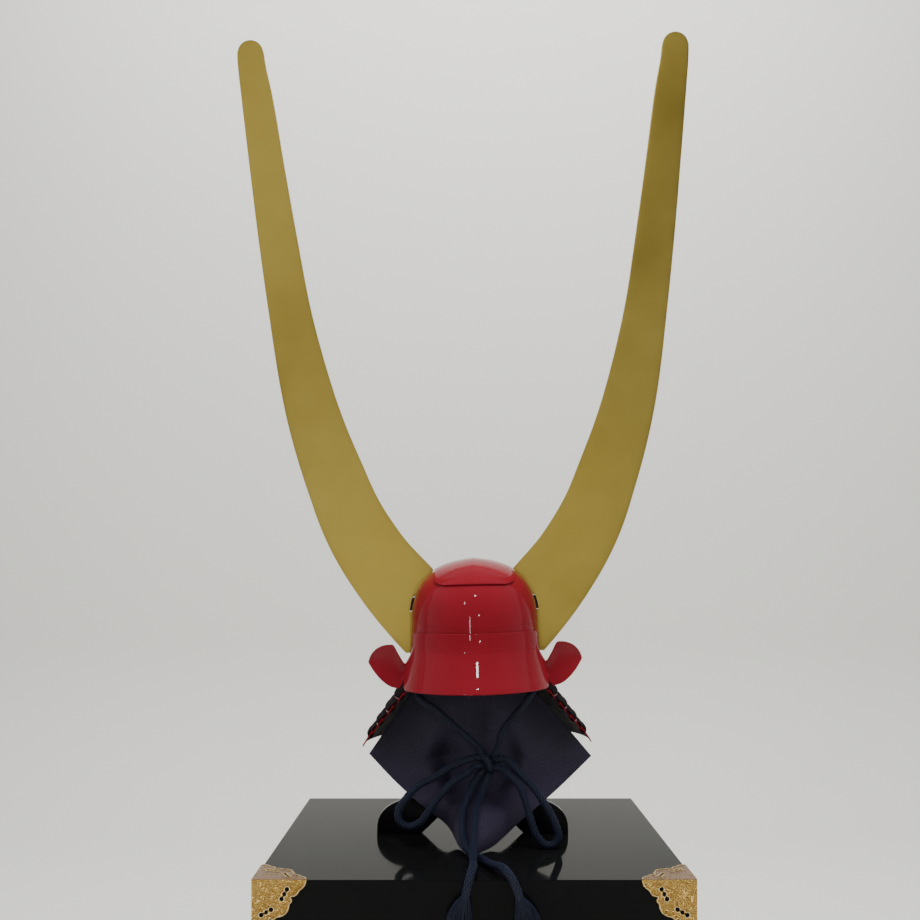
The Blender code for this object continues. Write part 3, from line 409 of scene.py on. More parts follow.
def plain_mesh(holder):
    """A holder object's shape with its modifiers, as a mesh of its own; the holder is removed."""
    name = holder.name
    mesh = bpy.data.meshes.new_from_object(holder.evaluated_get(bpy.context.evaluated_depsgraph_get()))
    bpy.data.objects.remove(holder, do_unlink=True)
    mesh.name = name
    return mesh


def baked(holder):
    """The holder's shape as a plain piece at the origin that keeps its name."""
    name = holder.name
    return add_piece(name, plain_mesh(holder))


class NodeTree:
    """A Geometry Nodes tree under construction: its inputs are named sizes, and each call adds a step."""

    def __init__(self, name, inputs):
        self.tree = bpy.data.node_groups.new(name, "GeometryNodeTree")
        for way in ("INPUT", "OUTPUT"):
            self.tree.interface.new_socket("Geometry", in_out=way, socket_type="NodeSocketGeometry")
        for label, (kind, value) in inputs.items():
            socket = self.tree.interface.new_socket(label, in_out="INPUT", socket_type=f"NodeSocket{kind}")
            if kind != "Material":
                socket.default_value = value
        self.start = self.tree.nodes.new("NodeGroupInput").outputs
        self.values = {label: value for label, (_, value) in inputs.items()}

    def add(self, kind, inputs=(), **settings):
        return add_node(self.tree, kind, inputs, **settings)

    def math(self, operation, *values):
        return self.add("ShaderNodeMath", enumerate(values), operation=operation)[0]

    def plus(self, a, b):
        return self.math("ADD", a, b)

    def minus(self, a, b):
        return self.math("SUBTRACT", a, b)

    def times(self, a, b):
        return self.math("MULTIPLY", a, b)

    def size_power(self, value, power):
        return self.math("POWER", self.math("ABSOLUTE", value), power)

    def vector(self, x, y, z):
        return self.add("ShaderNodeCombineXYZ", {0: x, 1: y, 2: z})[0]

    def make(self, name, carrier, shape, material):
        """Ends the tree with its shape in a material, and runs it on a carrier mesh: a plain piece."""
        real = self.add("GeometryNodeRealizeInstances", {0: shape})[0]
        coated = self.add("GeometryNodeSetMaterial", {0: real, "Material": self.start[material]})[0]
        self.tree.links.new(coated, self.tree.nodes.new("NodeGroupOutput").inputs[0])
        holder = add_piece(name, carrier)
        step = holder.modifiers.new("made", "NODES")
        step.node_group = self.tree
        for item in self.tree.interface.items_tree:
            if item.in_out == "INPUT" and item.name in self.values:
                step[item.identifier] = self.values[item.name]
        bpy.context.view_layer.update()
        return baked(holder)


tassel_silk, tree, shader = new_finish("tassel_silk", (0.020, 0.028, 0.085), 0.55, specular=0.3)
tint(tree, shader, noise(tree, 900.0, 3.0), (0.3, (0.0014, 0.0020, 0.0065)), (0.7, (0.0065, 0.0095, 0.026)))


def tassel_threads(name, seed):
    """Threads that hang from a round bundle, spread to a flat oval and wave a little on their way down."""
    sizes = {
        "Threads": ("Int", TASSEL_THREADS),
        "Length": ("Float", TASSEL_LENGTH),
        "Half Width": ("Float", TASSEL_HALF_WIDTH),
        "Half Depth": ("Float", TASSEL_HALF_DEPTH),
        "Thread Radius": ("Float", THREAD_RADIUS),
        "Seed": ("Float", seed),
        "Silk": ("Material", tassel_silk),
    }
    t = NodeTree(name, sizes)
    s = t.start
    number = t.add("GeometryNodeInputIndex")[0]
    turn = t.times(number, GOLDEN_TURN)
    away = t.math("SQRT", t.math("DIVIDE", t.plus(number, 0.5), s["Threads"]))
    place = t.vector(t.times(away, t.math("COSINE", turn)), t.times(away, t.math("SINE", turn)), 0.0)
    roots = t.add("GeometryNodePoints", {"Count": s["Threads"], "Position": place})[0]
    down = t.vector(0.0, 0.0, t.times(s["Length"], -1.0))
    thread = t.add("GeometryNodeCurvePrimitiveLine", {"Start": (0.0, 0.0, 0.0), "End": down})[0]
    thread = t.add("GeometryNodeResampleCurve", {"Curve": thread, "Count": THREAD_CUTS})[0]
    hung = t.add("GeometryNodeInstanceOnPoints", {"Points": roots, "Instance": thread})[0]
    hung = t.add("GeometryNodeRealizeInstances", {0: hung})[0]
    at = t.add("ShaderNodeSeparateXYZ", {0: t.add("GeometryNodeInputPosition")[0]})
    share = t.math("DIVIDE", t.times(at[2], -1.0), s["Length"])
    spread = t.math("MINIMUM", t.times(share, SPREAD_RATE), 1.0)
    spread = t.math("POWER", t.math("SINE", t.times(spread, 0.5 * math.pi)), SPREAD_POWER)
    wave_x = t.plus(t.times(at[0], WAVE_ACROSS), s["Seed"])
    wave_at = t.vector(wave_x, t.times(at[1], WAVE_ACROSS), t.times(at[2], WAVE_DOWN))
    wave = t.add("ShaderNodeTexNoise", {"Vector": wave_at, "Scale": WAVE_SCALE, "Detail": 2.0})[1]
    sway = t.add("ShaderNodeSeparateXYZ", {0: wave})
    swing = t.times(spread, THREAD_SWING)
    swept = []
    for axis, half in enumerate(("Half Width", "Half Depth")):
        reach = t.plus(BUNDLE_RADIUS, t.times(spread, t.minus(s[half], SPREAD_FROM)))
        swept.append(t.plus(t.times(at[axis], reach), t.times(t.minus(sway[axis], 0.5), swing)))
    ragged = t.times(t.minus(sway[2], 0.5), t.times(share, THREAD_RAGGED))
    place = t.vector(*swept, t.plus(at[2], ragged))
    shaped = t.add("GeometryNodeSetPosition", {"Geometry": hung, "Position": place})[0]
    section = {"Resolution": 4, "Radius": s["Thread Radius"]}
    section = t.add("GeometryNodeCurvePrimitiveCircle", section, mode="RADIUS")[0]
    solid = {"Curve": shaped, "Profile Curve": section, "Fill Caps": True}
    solid = t.add("GeometryNodeCurveToMesh", solid)[0]
    return t.make(name, bpy.data.meshes.new(f"{name}_carrier"), solid, "Silk")


def hang_tassel(name, node, route, drift, seed):
    """Places the threads below a tail's end and leans them on the lid's front."""
    top = smooth_route(route)[-1] + np.array((0.0, 0.0, CHEST_TOP + 0.004))
    piece = tassel_threads(name, seed)
    mesh = piece.data
    points = np.empty(len(mesh.vertices) * 3, dtype=np.float32)
    mesh.vertices.foreach_get("co", points)
    points = points.reshape(-1, 3)
    share = np.clip(-points[:, 2] / TASSEL_LENGTH, 0, 1)
    spread = np.sin(0.5 * math.pi * np.clip(share * SPREAD_RATE, 0, 1)) ** SPREAD_POWER
    resting = min(top[1], LID_FRONT_Y - TASSEL_HALF_DEPTH - 0.0014)
    points[:, 0] += top[0] + drift * spread
    points[:, 1] += top[1] + (resting - top[1]) * spread
    points[:, 1] = np.minimum(points[:, 1], LID_FRONT_Y - 0.0006)
    points[:, 2] += top[2]
    mesh.vertices.foreach_set("co", points.reshape(-1))
    mesh.update()
    mesh.shade_smooth()
    return fit(piece, node)


for side, route, drift, seed, length in (
    ("left", TAIL_LEFT_ROUTE, -0.007, 3.1, 0.234),
    ("right", TAIL_RIGHT_ROUTE, 0.009, 11.7, 0.257),
):
    tassel = hang_tassel(f"tassel_{side}_threads", f"tassel_{side}", route, drift, seed)
    tail = {"length": length, "far_end": "knot", "stiffness": "limp", "with_pieces": [tassel]}
    braided_cord(f"tail_{side}_braid", route, f"tail_{side}", **tail)

# Chest: a box of thin boards and a lid whose sides slip down over it. Both are sanded wood under many coats
# of black lacquer, polished like a mirror. The solids' own shapes stay, with the lid's rounded edges.
LACQUER_BLACK = (0.0046, 0.0049, 0.0049)
LACQUER_BLACK_DEEP = (0.0036, 0.0039, 0.0039)
COAT_IOR = 1.34
COAT_ROUGHNESS = 0.02
UNDERCOAT_SPECULAR = 0.02


def lacquer_depth():
    """What every lacquered surface here has: a slow unevenness of its gloss and a faint ripple."""
    group = bpy.data.node_groups.new("lacquer_depth", "ShaderNodeTree")
    for label, value in (("Ripple Scale", 60.0), ("Gloss Low", 0.05), ("Gloss High", 0.15)):
        socket = group.interface.new_socket(label, in_out="INPUT", socket_type="NodeSocketFloat")
        socket.default_value = value
    for label in ("Ripple", "Gloss"):
        group.interface.new_socket(label, in_out="OUTPUT", socket_type="NodeSocketFloat")
    start = group.nodes.new("NodeGroupInput").outputs
    end = group.nodes.new("NodeGroupOutput").inputs
    group.links.new(noise(group, start["Ripple Scale"], 2.0), end["Ripple"])
    haze = {"Value": noise(group, 11.0, 6.0, 0.62), "From Min": 0.35, "From Max": 0.68}
    gloss = {"To Min": start["Gloss Low"], "To Max": start["Gloss High"]}
    group.links.new(add_node(group, "ShaderNodeMapRange", {**haze, **gloss})["Result"], end["Gloss"])
    return group


LACQUER_DEPTH = lacquer_depth()


def lacquer(name, colour, deep, ripple_scale, ripple_depth, gloss, coat):
    """Lacquer with a clear last coat; its colour is a little deeper in slow patches."""
    made, tree, shader = new_finish(name, colour, gloss[0], specular=UNDERCOAT_SPECULAR)
    sizes = {"Ripple Scale": ripple_scale, "Gloss Low": gloss[0], "Gloss High": gloss[1]}
    skin = add_node(tree, "ShaderNodeGroup", sizes, node_tree=LACQUER_DEPTH)
    tree.links.new(skin["Gloss"], shader.inputs["Roughness"])
    bump(tree, shader, skin["Ripple"], ripple_depth)
    tint(tree, shader, noise(tree, 7.0, 3.0), (0.3, deep), (0.7, colour))
    shader.inputs["Coat Weight"].default_value = coat
    shader.inputs["Coat IOR"].default_value = COAT_IOR
    shader.inputs["Coat Roughness"].default_value = COAT_ROUGHNESS
    return made


def refinish(node, finish):
    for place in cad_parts[node].material_slots:
        place.material = finish


chest_black = lacquer("chest_lacquer", LACQUER_BLACK, LACQUER_BLACK_DEEP, 45.0, 0.00004, (0.04, 0.12), 0.09)
refinish("chest_body", chest_black)
refinish("chest_lid", chest_black)

# Corner fittings: three pierced and scalloped brass plates, bent together over each front corner of the lid
# and gilt. A raised bead follows their edges and their piercings, and the ground between is chiselled.
BEAD_RADIUS = 0.00055
BEAD_INSET = 0.0011
FITTING_SIZE = 0.061
FITTING_FACE = 0.0015
FITTING_POINT = 0.075
SCALLOP_CUTS = 12
POINT_CUTS = 18
DROP_CUTS = 48
CHEST_HALF_WIDTH = 0.250
CHEST_HALF_DEPTH = 0.225
PIERCING_RADIUS = 0.0027
PIERCING_DROPS = [(0.635, 0.16), (0.535, 0.34)]
FITTING_NOTCHES = [
    (1.0, 0.0, 0.0),
    (0.87, 0.19, 0.030),
    (0.705, 0.31, 0.035),
    (0.69, 0.44, 0.035),
]
BRASS = (0.78, 0.50, 0.14)
BRASS_LOW = (0.14, 0.070, 0.012)
BRASS_FLANK = (0.62, 0.36, 0.085)
BRASS_HIGH = (0.98, 0.68, 0.22)
# Painted shade: the fittings' top faces are coloured this darker brown in place of their gilding.
TOP_FACE_SHADE = (0.36, 0.20, 0.10)
SCROLL_BAND = 0.070


def fitting_edge(inset):
    """The scalloped edge on one face, in metres from the chest's corner, moved inwards."""
    half = []
    for (u0, v0, _), (u1, v1, bulge) in zip(FITTING_NOTCHES, FITTING_NOTCHES[1:]):
        along = np.array((u1 - u0, v1 - v0))
        across = np.array((along[1], -along[0])) / np.linalg.norm(along)
        for k in range(SCALLOP_CUTS):
            share = k / SCALLOP_CUTS
            half.append(np.array((u0, v0)) + along * share + across * bulge * math.sin(math.pi * share))
    last = np.array(FITTING_NOTCHES[-1][:2])
    out = np.array((1.0, 1.0)) / math.sqrt(2)
    for k in range(POINT_CUTS // 2 + 1):
        share = k / POINT_CUTS
        half.append(last + (last[::-1] - last) * share + out * FITTING_POINT * math.sin(math.pi * share))
    edge = np.array(half + [p[::-1] for p in half[::-1]][1:]) * FITTING_SIZE
    ways = ways_along(edge)
    return edge + np.stack([-ways[:, 1], ways[:, 0]], axis=1) * inset


def piercing_edge(swap, outset):
    """The outline round one piercing's row of three drops, as a closed line in a face's own plane."""
    first, last = (np.array(p) * FITTING_SIZE for p in PIERCING_DROPS)
    if swap:
        first, last = first[::-1], last[::-1]
    middle = 0.5 * (first + last)
    way = (last - first) / np.linalg.norm(last - first)
    side = np.array((-way[1], way[0]))
    reach = 0.5 * np.linalg.norm(last - first)
    radius = PIERCING_RADIUS + outset
    line = []
    for k in range(DROP_CUTS):
        angle = 2 * math.pi * k / DROP_CUTS
        along = math.cos(angle) * (reach + radius)
        centre = max(-reach, min(reach, round(along / reach) * reach))
        half = math.sqrt(max(0.0, radius**2 - (along - centre) ** 2))
        half = max(half, 0.5 * radius if abs(along) < reach + 0.6 * radius else half)
        line.append(middle + way * along + side * half * (1 if math.sin(angle) >= 0 else -1))
    return np.array([*line, line[0]])


def on_chest(face, side, flat):
    """Points near a front corner of the lid: face 0 is the front, 1 the top and 2 the side."""
    u, v = flat[:, 0], flat[:, 1]
    x, y, z = side * (CHEST_HALF_WIDTH - u), v - CHEST_HALF_DEPTH, CHEST_TOP - v
    if face == 0:
        y = np.full_like(u, -CHEST_HALF_DEPTH - FITTING_FACE)
    if face == 1:
        z = np.full_like(u, CHEST_TOP + FITTING_FACE)
    if face == 2:
        x, y = np.full_like(u, side * (CHEST_HALF_WIDTH + FITTING_FACE)), u - CHEST_HALF_DEPTH
    return np.stack([x, y, z], axis=1)


def bead_lines(name, lines, radius):
    """Round beads along lines, as one mesh of closed tubes. A closed line ends in its first point."""
    curve = bpy.data.curves.new(name, "CURVE")
    curve.dimensions = "3D"
    curve.bevel_depth = radius
    curve.bevel_resolution = 2
    curve.use_fill_caps = True
    for line in lines:
        closed = np.allclose(line[0], line[-1])
        points = line[:-1] if closed else line
        spline = curve.splines.new("POLY")
        spline.points.add(len(points) - 1)
        spline.points.foreach_set("co", np.hstack([points, np.ones((len(points), 1))]).reshape(-1))
        spline.use_cyclic_u = bool(closed)
    holder = bpy.data.objects.new(name, curve)
    bpy.context.scene.collection.objects.link(holder)
    mesh = plain_mesh(holder)
    mesh.materials.clear()
    mesh.shade_smooth()
    return mesh


fitting_brass, tree, shader = new_finish("fitting_brass", BRASS, 0.26, 1.0)
scrolls = noise(tree, 125.0, 1.0, distortion=1.8)
lines = add_node(tree, "ShaderNodeMath", {0: scrolls, 1: SCROLL_BAND}, operation="PINGPONG")[0]
bump(tree, shader, ramp(tree, lines, [(0.0, 0.0), (0.028, 0.2), (0.064, 1.0)]), 0.0009, 1.0)
gilding = ramp(tree, lines, [(0.0, BRASS_LOW), (0.030, BRASS_FLANK), (0.064, BRASS_HIGH)])
# Painted shade: faces above the lid's top level take the darker brown, not the gilding of the front and side
# faces.
place = add_node(tree, "ShaderNodeTexCoord")["Object"]
level = add_node(tree, "ShaderNodeSeparateXYZ", {"Vector": place})["Z"]
top_level = CHEST_TOP + FITTING_FACE - 0.0004
painted_shade_on_top = add_node(tree, "ShaderNodeMath", {0: level, 1: top_level}, operation="GREATER_THAN")[0]
shades = {0: painted_shade_on_top, 6: gilding, 7: (*TOP_FACE_SHADE, 1.0)}
shade = add_node(tree, "ShaderNodeMix", shades, data_type="RGBA")[2]
tree.links.new(shade, shader.inputs["Base Color"])
bead_brass, tree, shader = new_finish("bead_brass", (0.86, 0.68, 0.34), 0.2, 1.0)
tint(tree, shader, noise(tree, 300.0, 3.0), (0.3, (0.60, 0.44, 0.18)), (0.6, (0.90, 0.74, 0.42)))
for side, node in ((-1, "corner_fitting_left"), (1, "corner_fitting_right")):
    refinish(node, fitting_brass)
    lines = []
    for face in range(3):
        lines.append(on_chest(face, side, fitting_edge(BEAD_INSET)))
        for swap in (False, True):
            lines.append(on_chest(face, side, piercing_edge(swap, 0.8 * BEAD_RADIUS)))
    bead = bead_lines(f"{node}_bead", lines, BEAD_RADIUS)
    fit(add_piece(bead.name, bead, bead_brass))

# Stand: two arched boards halved into a cross, a turned post and a domed head that the helmet rests on. All
# are wood under a satin black paint, with edges rounded by sanding.
EASED_EDGE = 0.0012
SATIN_BLACK = (0.0030, 0.0030, 0.0034)
SATIN_BLACK_WORN = (0.0045, 0.0045, 0.0048)


def rounded(holder, width, segments=3, angle=50):
    edge = holder.modifiers.new("edge", "BEVEL")
    edge.width = width
    edge.segments = segments
    edge.angle_limit = math.radians(angle)
    return holder


def eased(name, node, width, finish):
    """A piece with a node's shape, and with its edges rounded."""
    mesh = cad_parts[node].data.copy()
    mesh.materials.clear()
    work = bmesh.new()
    work.from_mesh(mesh)
    bmesh.ops.remove_doubles(work, verts=work.verts, dist=1e-6)
    bmesh.ops.dissolve_limit(work, angle_limit=math.radians(1), verts=work.verts, edges=work.edges)
    work.to_mesh(mesh)
    work.free()
    mesh.shade_smooth()
    holder = rounded(add_piece(name, mesh, finish), width, angle=35)
    holder.modifiers["edge"].harden_normals = True
    return baked(holder)


stand_paint, tree, shader = new_finish("stand_paint", SATIN_BLACK, 0.3, specular=0.12)
grain = noise(tree, 1.0, 5.0, stretch=(14.0, 14.0, 260.0))
bump(tree, shader, grain, 0.00002, 0.4)
tint(tree, shader, grain, (0.3, 0.20), (0.75, 0.25), socket="Roughness")
tint(tree, shader, noise(tree, 35.0, 5.0), (0.35, SATIN_BLACK), (0.8, SATIN_BLACK_WORN))
for node in ("stand_base_side", "stand_base_front", "stand_post", "stand_head"):
    fit(eased(f"{node}_painted", node, EASED_EDGE, stand_paint), node)

# Cloth: a stiff square of dark plum-navy silk weave with a turned hem, hung by one corner inside the helmet.
# It falls over the stand in two broad folds, and its lowest corner lies on the lid towards the front edge.
CLOTH_SIDE = 0.250
CLOTH_THICKNESS = 0.002
CLOTH_CELLS = 120
HEM_WIDTH = 0.0045
HEM_RISE = 0.0005
LEFT_FOLD = (-0.30, 0.24)
RIGHT_FOLD = (0.22, 0.18)
VALLEY = (0.0, 0.22)
EDGE_SWELL_POWER = 0.7
CLOTH_EDGE = 0.00045
THREAD_SCALE = 310.0
CLOTH_DARK = (0.011, 0.0085, 0.019)
CLOTH_LIGHT = (0.028, 0.022, 0.045)
SHEEN_TINT = (0.55, 0.52, 0.75)
# How far down, then the left edge, the middle and the right edge as shares of the side. Last come the depths
# of the left fold, the right fold and the valley between them, and how far the edges swell.
CLOTH_SECTIONS = [
    (1.0, (0.016, -0.072, 1.116), (0.016, -0.072, 1.116), (0.016, -0.072, 1.116), 0.0, 0.0, 0.0, 0.0),
    (0.75, (-0.12, -0.03, 0.96), (0.03, -0.10, 0.944), (0.16, -0.03, 0.952), 0.0, 0.0, 0.02, 0.0),
    (0.4, (-0.34, 0.03, 0.724), (0.056, -0.12, 0.692), (0.388, 0.02, 0.704), 0.0, 0.0, 0.05, 0.0),
    (0.2, (-0.448, 0.068, 0.572), (0.068, -0.14, 0.556), (0.52, 0.06, 0.552), 0.04, 0.024, 0.03, 0.0),
    (0.0, (-0.56, 0.10, 0.408), (0.076, -0.144, 0.416), (0.652, 0.10, 0.396), 0.088, 0.048, 0.0, 0.0),
    (-0.2, (-0.432, 0.0, 0.296), (0.056, -0.136, 0.28), (0.516, -0.008, 0.292), 0.08, 0.056, 0.0, 0.0),
    (-0.4, (-0.288, -0.104, 0.188), (0.028, -0.232, 0.212), (0.38, -0.112, 0.196), 0.032, 0.04, 0.0, 0.0),
    (-0.6, (-0.132, -0.144, 0.076), (0.012, -0.344, 0.186), (0.24, -0.208, 0.104), 0.0, 0.0, 0.0, 0.032),
    (-0.8, (-0.068, -0.32, 0.010), (0.004, -0.440, 0.112), (0.104, -0.336, 0.016), 0.0, 0.0, 0.0, 0.036),
    (-1.0, (-0.020, -0.512, 0.006), (-0.020, -0.512, 0.006), (-0.020, -0.512, 0.006), 0.0, 0.0, 0.0, 0.0),
]


def smooth_value(table, at, column):
    """A column of a table between its rows, on a smooth curve that doesn't overshoot a level row."""
    rows = sorted(table, key=lambda row: row[0])
    at = min(max(at, rows[0][0]), rows[-1][0])
    i = max(k for k in range(len(rows) - 1) if rows[k][0] <= at)
    slopes = [(b[column] - a[column]) / (b[0] - a[0]) for a, b in zip(rows, rows[1:])]
    before = slopes[max(i - 1, 0)]
    after = slopes[min(i + 1, len(slopes) - 1)]
    start = 0.5 * (before + slopes[i]) if before * slopes[i] > 0 else 0.0
    end = 0.5 * (after + slopes[i]) if after * slopes[i] > 0 else 0.0
    step = rows[i + 1][0] - rows[i][0]
    u = (at - rows[i][0]) / step
    return (
        rows[i][column] * (1 + 2 * u) * (1 - u) ** 2
        + step * start * u * (1 - u) ** 2
        + rows[i + 1][column] * u * u * (3 - 2 * u)
        + step * end * u * u * (u - 1)
    )


def hump(at, middle, half_width):
    """A smooth bump of height 1."""
    away = abs(at - middle) / half_width
    return 0.5 + 0.5 * math.cos(math.pi * away) if away < 1 else 0.0


def cloth_point(across, down):
    """A point of the hung cloth. Both run from -1 to 1 along the square's diagonals."""
    half = [row for row in CLOTH_SECTIONS if row[0] == 0 or (row[0] > 0) == (down > 0)]
    flat = [(row[0], *row[1], *row[2], *row[3], *row[4:]) for row in half]
    values = [smooth_value(flat, down, column) for column in range(1, 14)]
    left, middle, right = Vector(values[0:3]), Vector(values[3:6]), Vector(values[6:9])
    left_fold, right_fold, valley, swell = values[9:13]
    reach = 1 - abs(down)
    share = 0.0 if reach < 1e-6 else max(-1.0, min(1.0, across / reach))
    side, end = (right, 1) if share > 0 else (left, -1)
    away = abs(share)
    point = middle.lerp(side, away)
    point.x += end * swell * math.sin(math.pi * away**EDGE_SWELL_POWER)
    point.y += left_fold * hump(share, *LEFT_FOLD) + right_fold * hump(share, *RIGHT_FOLD)
    point.y += valley * hump(share, *VALLEY)
    return point * CLOTH_SIDE


def grid_mesh(name, rows, flat_map=None):
    """A mesh of four-sided faces on rows of points, with a UV map in the sheet's metres if one is given."""
    width = len(rows[0])
    faces = []
    for r in range(len(rows) - 1):
        for i in range(r * width, r * width + width - 1):
            faces.append((i, i + 1, i + width + 1, i + width))
    mesh = smooth_mesh(name, [p for row in rows for p in row], faces)
    if flat_map is not None:
        layer = mesh.uv_layers.new(name="flat")
        for loop in mesh.loops:
            layer.data[loop.index].uv = flat_map[loop.vertex_index]
    return mesh


def face_front(mesh):
    """Turns an open sheet so that its faces look to the front."""
    if sum((f.normal.y * f.area for f in mesh.polygons)) > 0:
        mesh.flip_normals()


def thickened(holder, thickness, offset=1.0):
    thick = holder.modifiers.new("thickness", "SOLIDIFY")
    thick.thickness = thickness
    thick.offset = offset
    return holder


cloth_rows, flat_map, in_hem = [], [], []
for r in range(CLOTH_CELLS + 1):
    row = []
    for c in range(CLOTH_CELLS + 1):
        u, v = r / CLOTH_CELLS, c / CLOTH_CELLS
        if CLOTH_SIDE * min(u, 1 - u, v, 1 - v) < HEM_WIDTH:
            in_hem.append(len(flat_map))
        flat_map.append((u * CLOTH_SIDE, v * CLOTH_SIDE))
        row.append(cloth_point(v - u, 1 - u - v) + Vector((0.0, 0.0, CHEST_TOP)))
    cloth_rows.append(row)
cloth_mesh = grid_mesh("cloth_silk", cloth_rows, flat_map)
face_front(cloth_mesh)

cloth_silk, tree, shader = new_finish("cloth_silk", (0.016, 0.013, 0.028), 0.62, specular=0.3)
flat = add_node(tree, "ShaderNodeUVMap", uv_map="flat")["UV"]
sizes = {"Vector": flat, "Scale": THREAD_SCALE, "Distortion": 0.6, "Detail": 1.0}
threads = [add_node(tree, "ShaderNodeTexWave", sizes, bands_direction=way)["Fac"] for way in ("X", "Y")]
weave = add_node(tree, "ShaderNodeMath", enumerate(threads), operation="MAXIMUM")[0]
bump(tree, shader, weave, 0.00035, 0.5)
slub = add_node(tree, "ShaderNodeTexNoise", {"Vector": flat, "Scale": 420.0, "Detail": 4.0})["Fac"]
tint(tree, shader, slub, (0.3, CLOTH_DARK), (0.7, CLOTH_LIGHT))
shader.inputs["Sheen Weight"].default_value = 0.10
shader.inputs["Sheen Roughness"].default_value = 0.35
shader.inputs["Sheen Tint"].default_value = (*SHEEN_TINT, 1.0)
holder = add_piece("cloth_silk", cloth_mesh, cloth_silk)
holder.vertex_groups.new(name="hem").add(in_hem, 1.0, "REPLACE")
thick = thickened(holder, CLOTH_THICKNESS, 0.0).modifiers["thickness"]
thick.vertex_group = "hem"
thick.thickness_vertex_group = 1 - 2 * HEM_RISE / CLOTH_THICKNESS
cloth = fit(baked(rounded(holder, CLOTH_EDGE, 2, 60)), "cloth")

# Bowl: the head shell of the helmet, a raised iron dome that is open below, lacquered cherry red outside and
# matt black inside. It leans a little to the left on its stand, and one long seam crosses its forehead.
HELMET_LEAN = math.radians(-1.15)
HELMET_PLACE = Matrix.Translation((0.0050, 0.0, CHEST_TOP + 0.1975)) @ Matrix.Rotation(HELMET_LEAN, 4, "Y")
BOWL_WALL = 0.003
BOWL_HALF_WIDTH = 0.0845
BOWL_HALF_LENGTH = 0.099
BOWL_SPRING = 0.0835
BOWL_RISE = 0.083
BOWL_POWER = 2.42
BOWL_RIM_HEIGHT = 0.0075
RIM_HALF_WIDTH = 0.090
RIM_HALF_LENGTH = 0.103
BOWL_SIDES = 144
BOWL_LEVELS = 36
SKIRT_LEVELS = 8
GAP = 0.0003
RED = (0.180, 0.0085, 0.0155)
RED_DEEP = (0.138, 0.0060, 0.0115)
SEAM_ENDS = 0.0911
SEAM_MIDDLE = 0.0810
SEAM_TURN = math.radians(78)
SEAM_CUTS = 80
SEAM_RADIUS = 0.00032


def bowl_section(height, inwards=0.0):
    """Half width and half length of the bowl's outline at a height above the brim, inwards by a wall."""
    if height >= BOWL_SPRING:
        share = min(1.0, (height - BOWL_SPRING) / (BOWL_RISE - inwards))
        size = (1 - share**BOWL_POWER) ** (1 / BOWL_POWER)
        return size * (BOWL_HALF_WIDTH - inwards), size * (BOWL_HALF_LENGTH - inwards)
    share = (BOWL_SPRING - height) / (BOWL_SPRING - BOWL_RIM_HEIGHT)
    half_width = BOWL_HALF_WIDTH + share * (RIM_HALF_WIDTH - BOWL_HALF_WIDTH)
    half_length = BOWL_HALF_LENGTH + share * (RIM_HALF_LENGTH - BOWL_HALF_LENGTH)
    return half_width - inwards, half_length - inwards


def oval(half_width, half_length, height):
    turns = [2 * math.pi / BOWL_SIDES * i for i in range(BOWL_SIDES)]
    return [(half_width * math.sin(turn), -half_length * math.cos(turn), height) for turn in turns]


def ring_mesh(name, rings):
    """A closed mesh through rings of equal count, from one pole to the other."""
    count = len(rings[1])
    points = [p for ring in rings for p in ring]
    last = len(points) - 1
    faces = [(0, 1 + k, 1 + (k + 1) % count) for k in range(count)]
    for start in range(1, 1 + (len(rings) - 3) * count, count):
        for k in range(count):
            n = (k + 1) % count
            faces.append((start + k, start + count + k, start + count + n, start + n))
    end = last - count
    faces += [(end + k, last, end + (k + 1) % count) for k in range(count)]
    return smooth_mesh(name, points, faces)


def on_helmet(piece, node=None):
    """Puts a piece made in the bowl's own place onto the leaning helmet, and in a node's place."""
    piece.data.transform(HELMET_PLACE)
    fit(piece, node)


def face_out(mesh, middle=(0.0, 0.0, 0.05)):
    """Turns an open sheet so that its faces look away from a point."""
    if sum((f.normal.dot(f.center - Vector(middle)) * f.area for f in mesh.polygons)) < 0:
        mesh.flip_normals()


red_lacquer = lacquer("red_lacquer", RED, RED_DEEP, 38.0, 0.00005, (0.05, 0.12), 0.42)
inside_black, tree, shader = new_finish("inside_black", (0.010, 0.009, 0.009), 0.55)
brushed_on = noise(tree, 240.0)
bump(tree, shader, brushed_on, 0.0003, 0.6)
tint(tree, shader, brushed_on, (0.3, (0.006, 0.006, 0.006)), (0.75, (0.018, 0.017, 0.016)))

rings = []
for inwards in (0.0, BOWL_WALL):
    wall = [[(0.0, 0.0, BOWL_SPRING + BOWL_RISE - inwards)]]
    for level in range(1, BOWL_LEVELS + 1):
        angle = 0.5 * math.pi * level / BOWL_LEVELS
        height = BOWL_SPRING + (BOWL_RISE - inwards) * max(0.0, math.cos(angle)) ** (2 / BOWL_POWER)
        size = math.sin(angle) ** (2 / BOWL_POWER)
        wall.append(oval(size * (BOWL_HALF_WIDTH - inwards), size * (BOWL_HALF_LENGTH - inwards), height))
    for step in range(1, SKIRT_LEVELS + 1):
        height = BOWL_SPRING + step / SKIRT_LEVELS * (BOWL_RIM_HEIGHT - BOWL_SPRING)
        wall.append(oval(*bowl_section(height, inwards), height))
    rings.append(wall)
bowl_mesh = ring_mesh("bowl_shell", rings[0] + rings[1][::-1])
holder = add_piece("bowl_shell", bowl_mesh, red_lacquer, inside_black)
inner_from = 1 + BOWL_SIDES * (len(rings[0]) - 1)
for face in bowl_mesh.polygons:
    face.material_index = 1 if min(face.vertices) >= inner_from else 0
on_helmet(baked(rounded(holder, 0.0008)), "bowl")

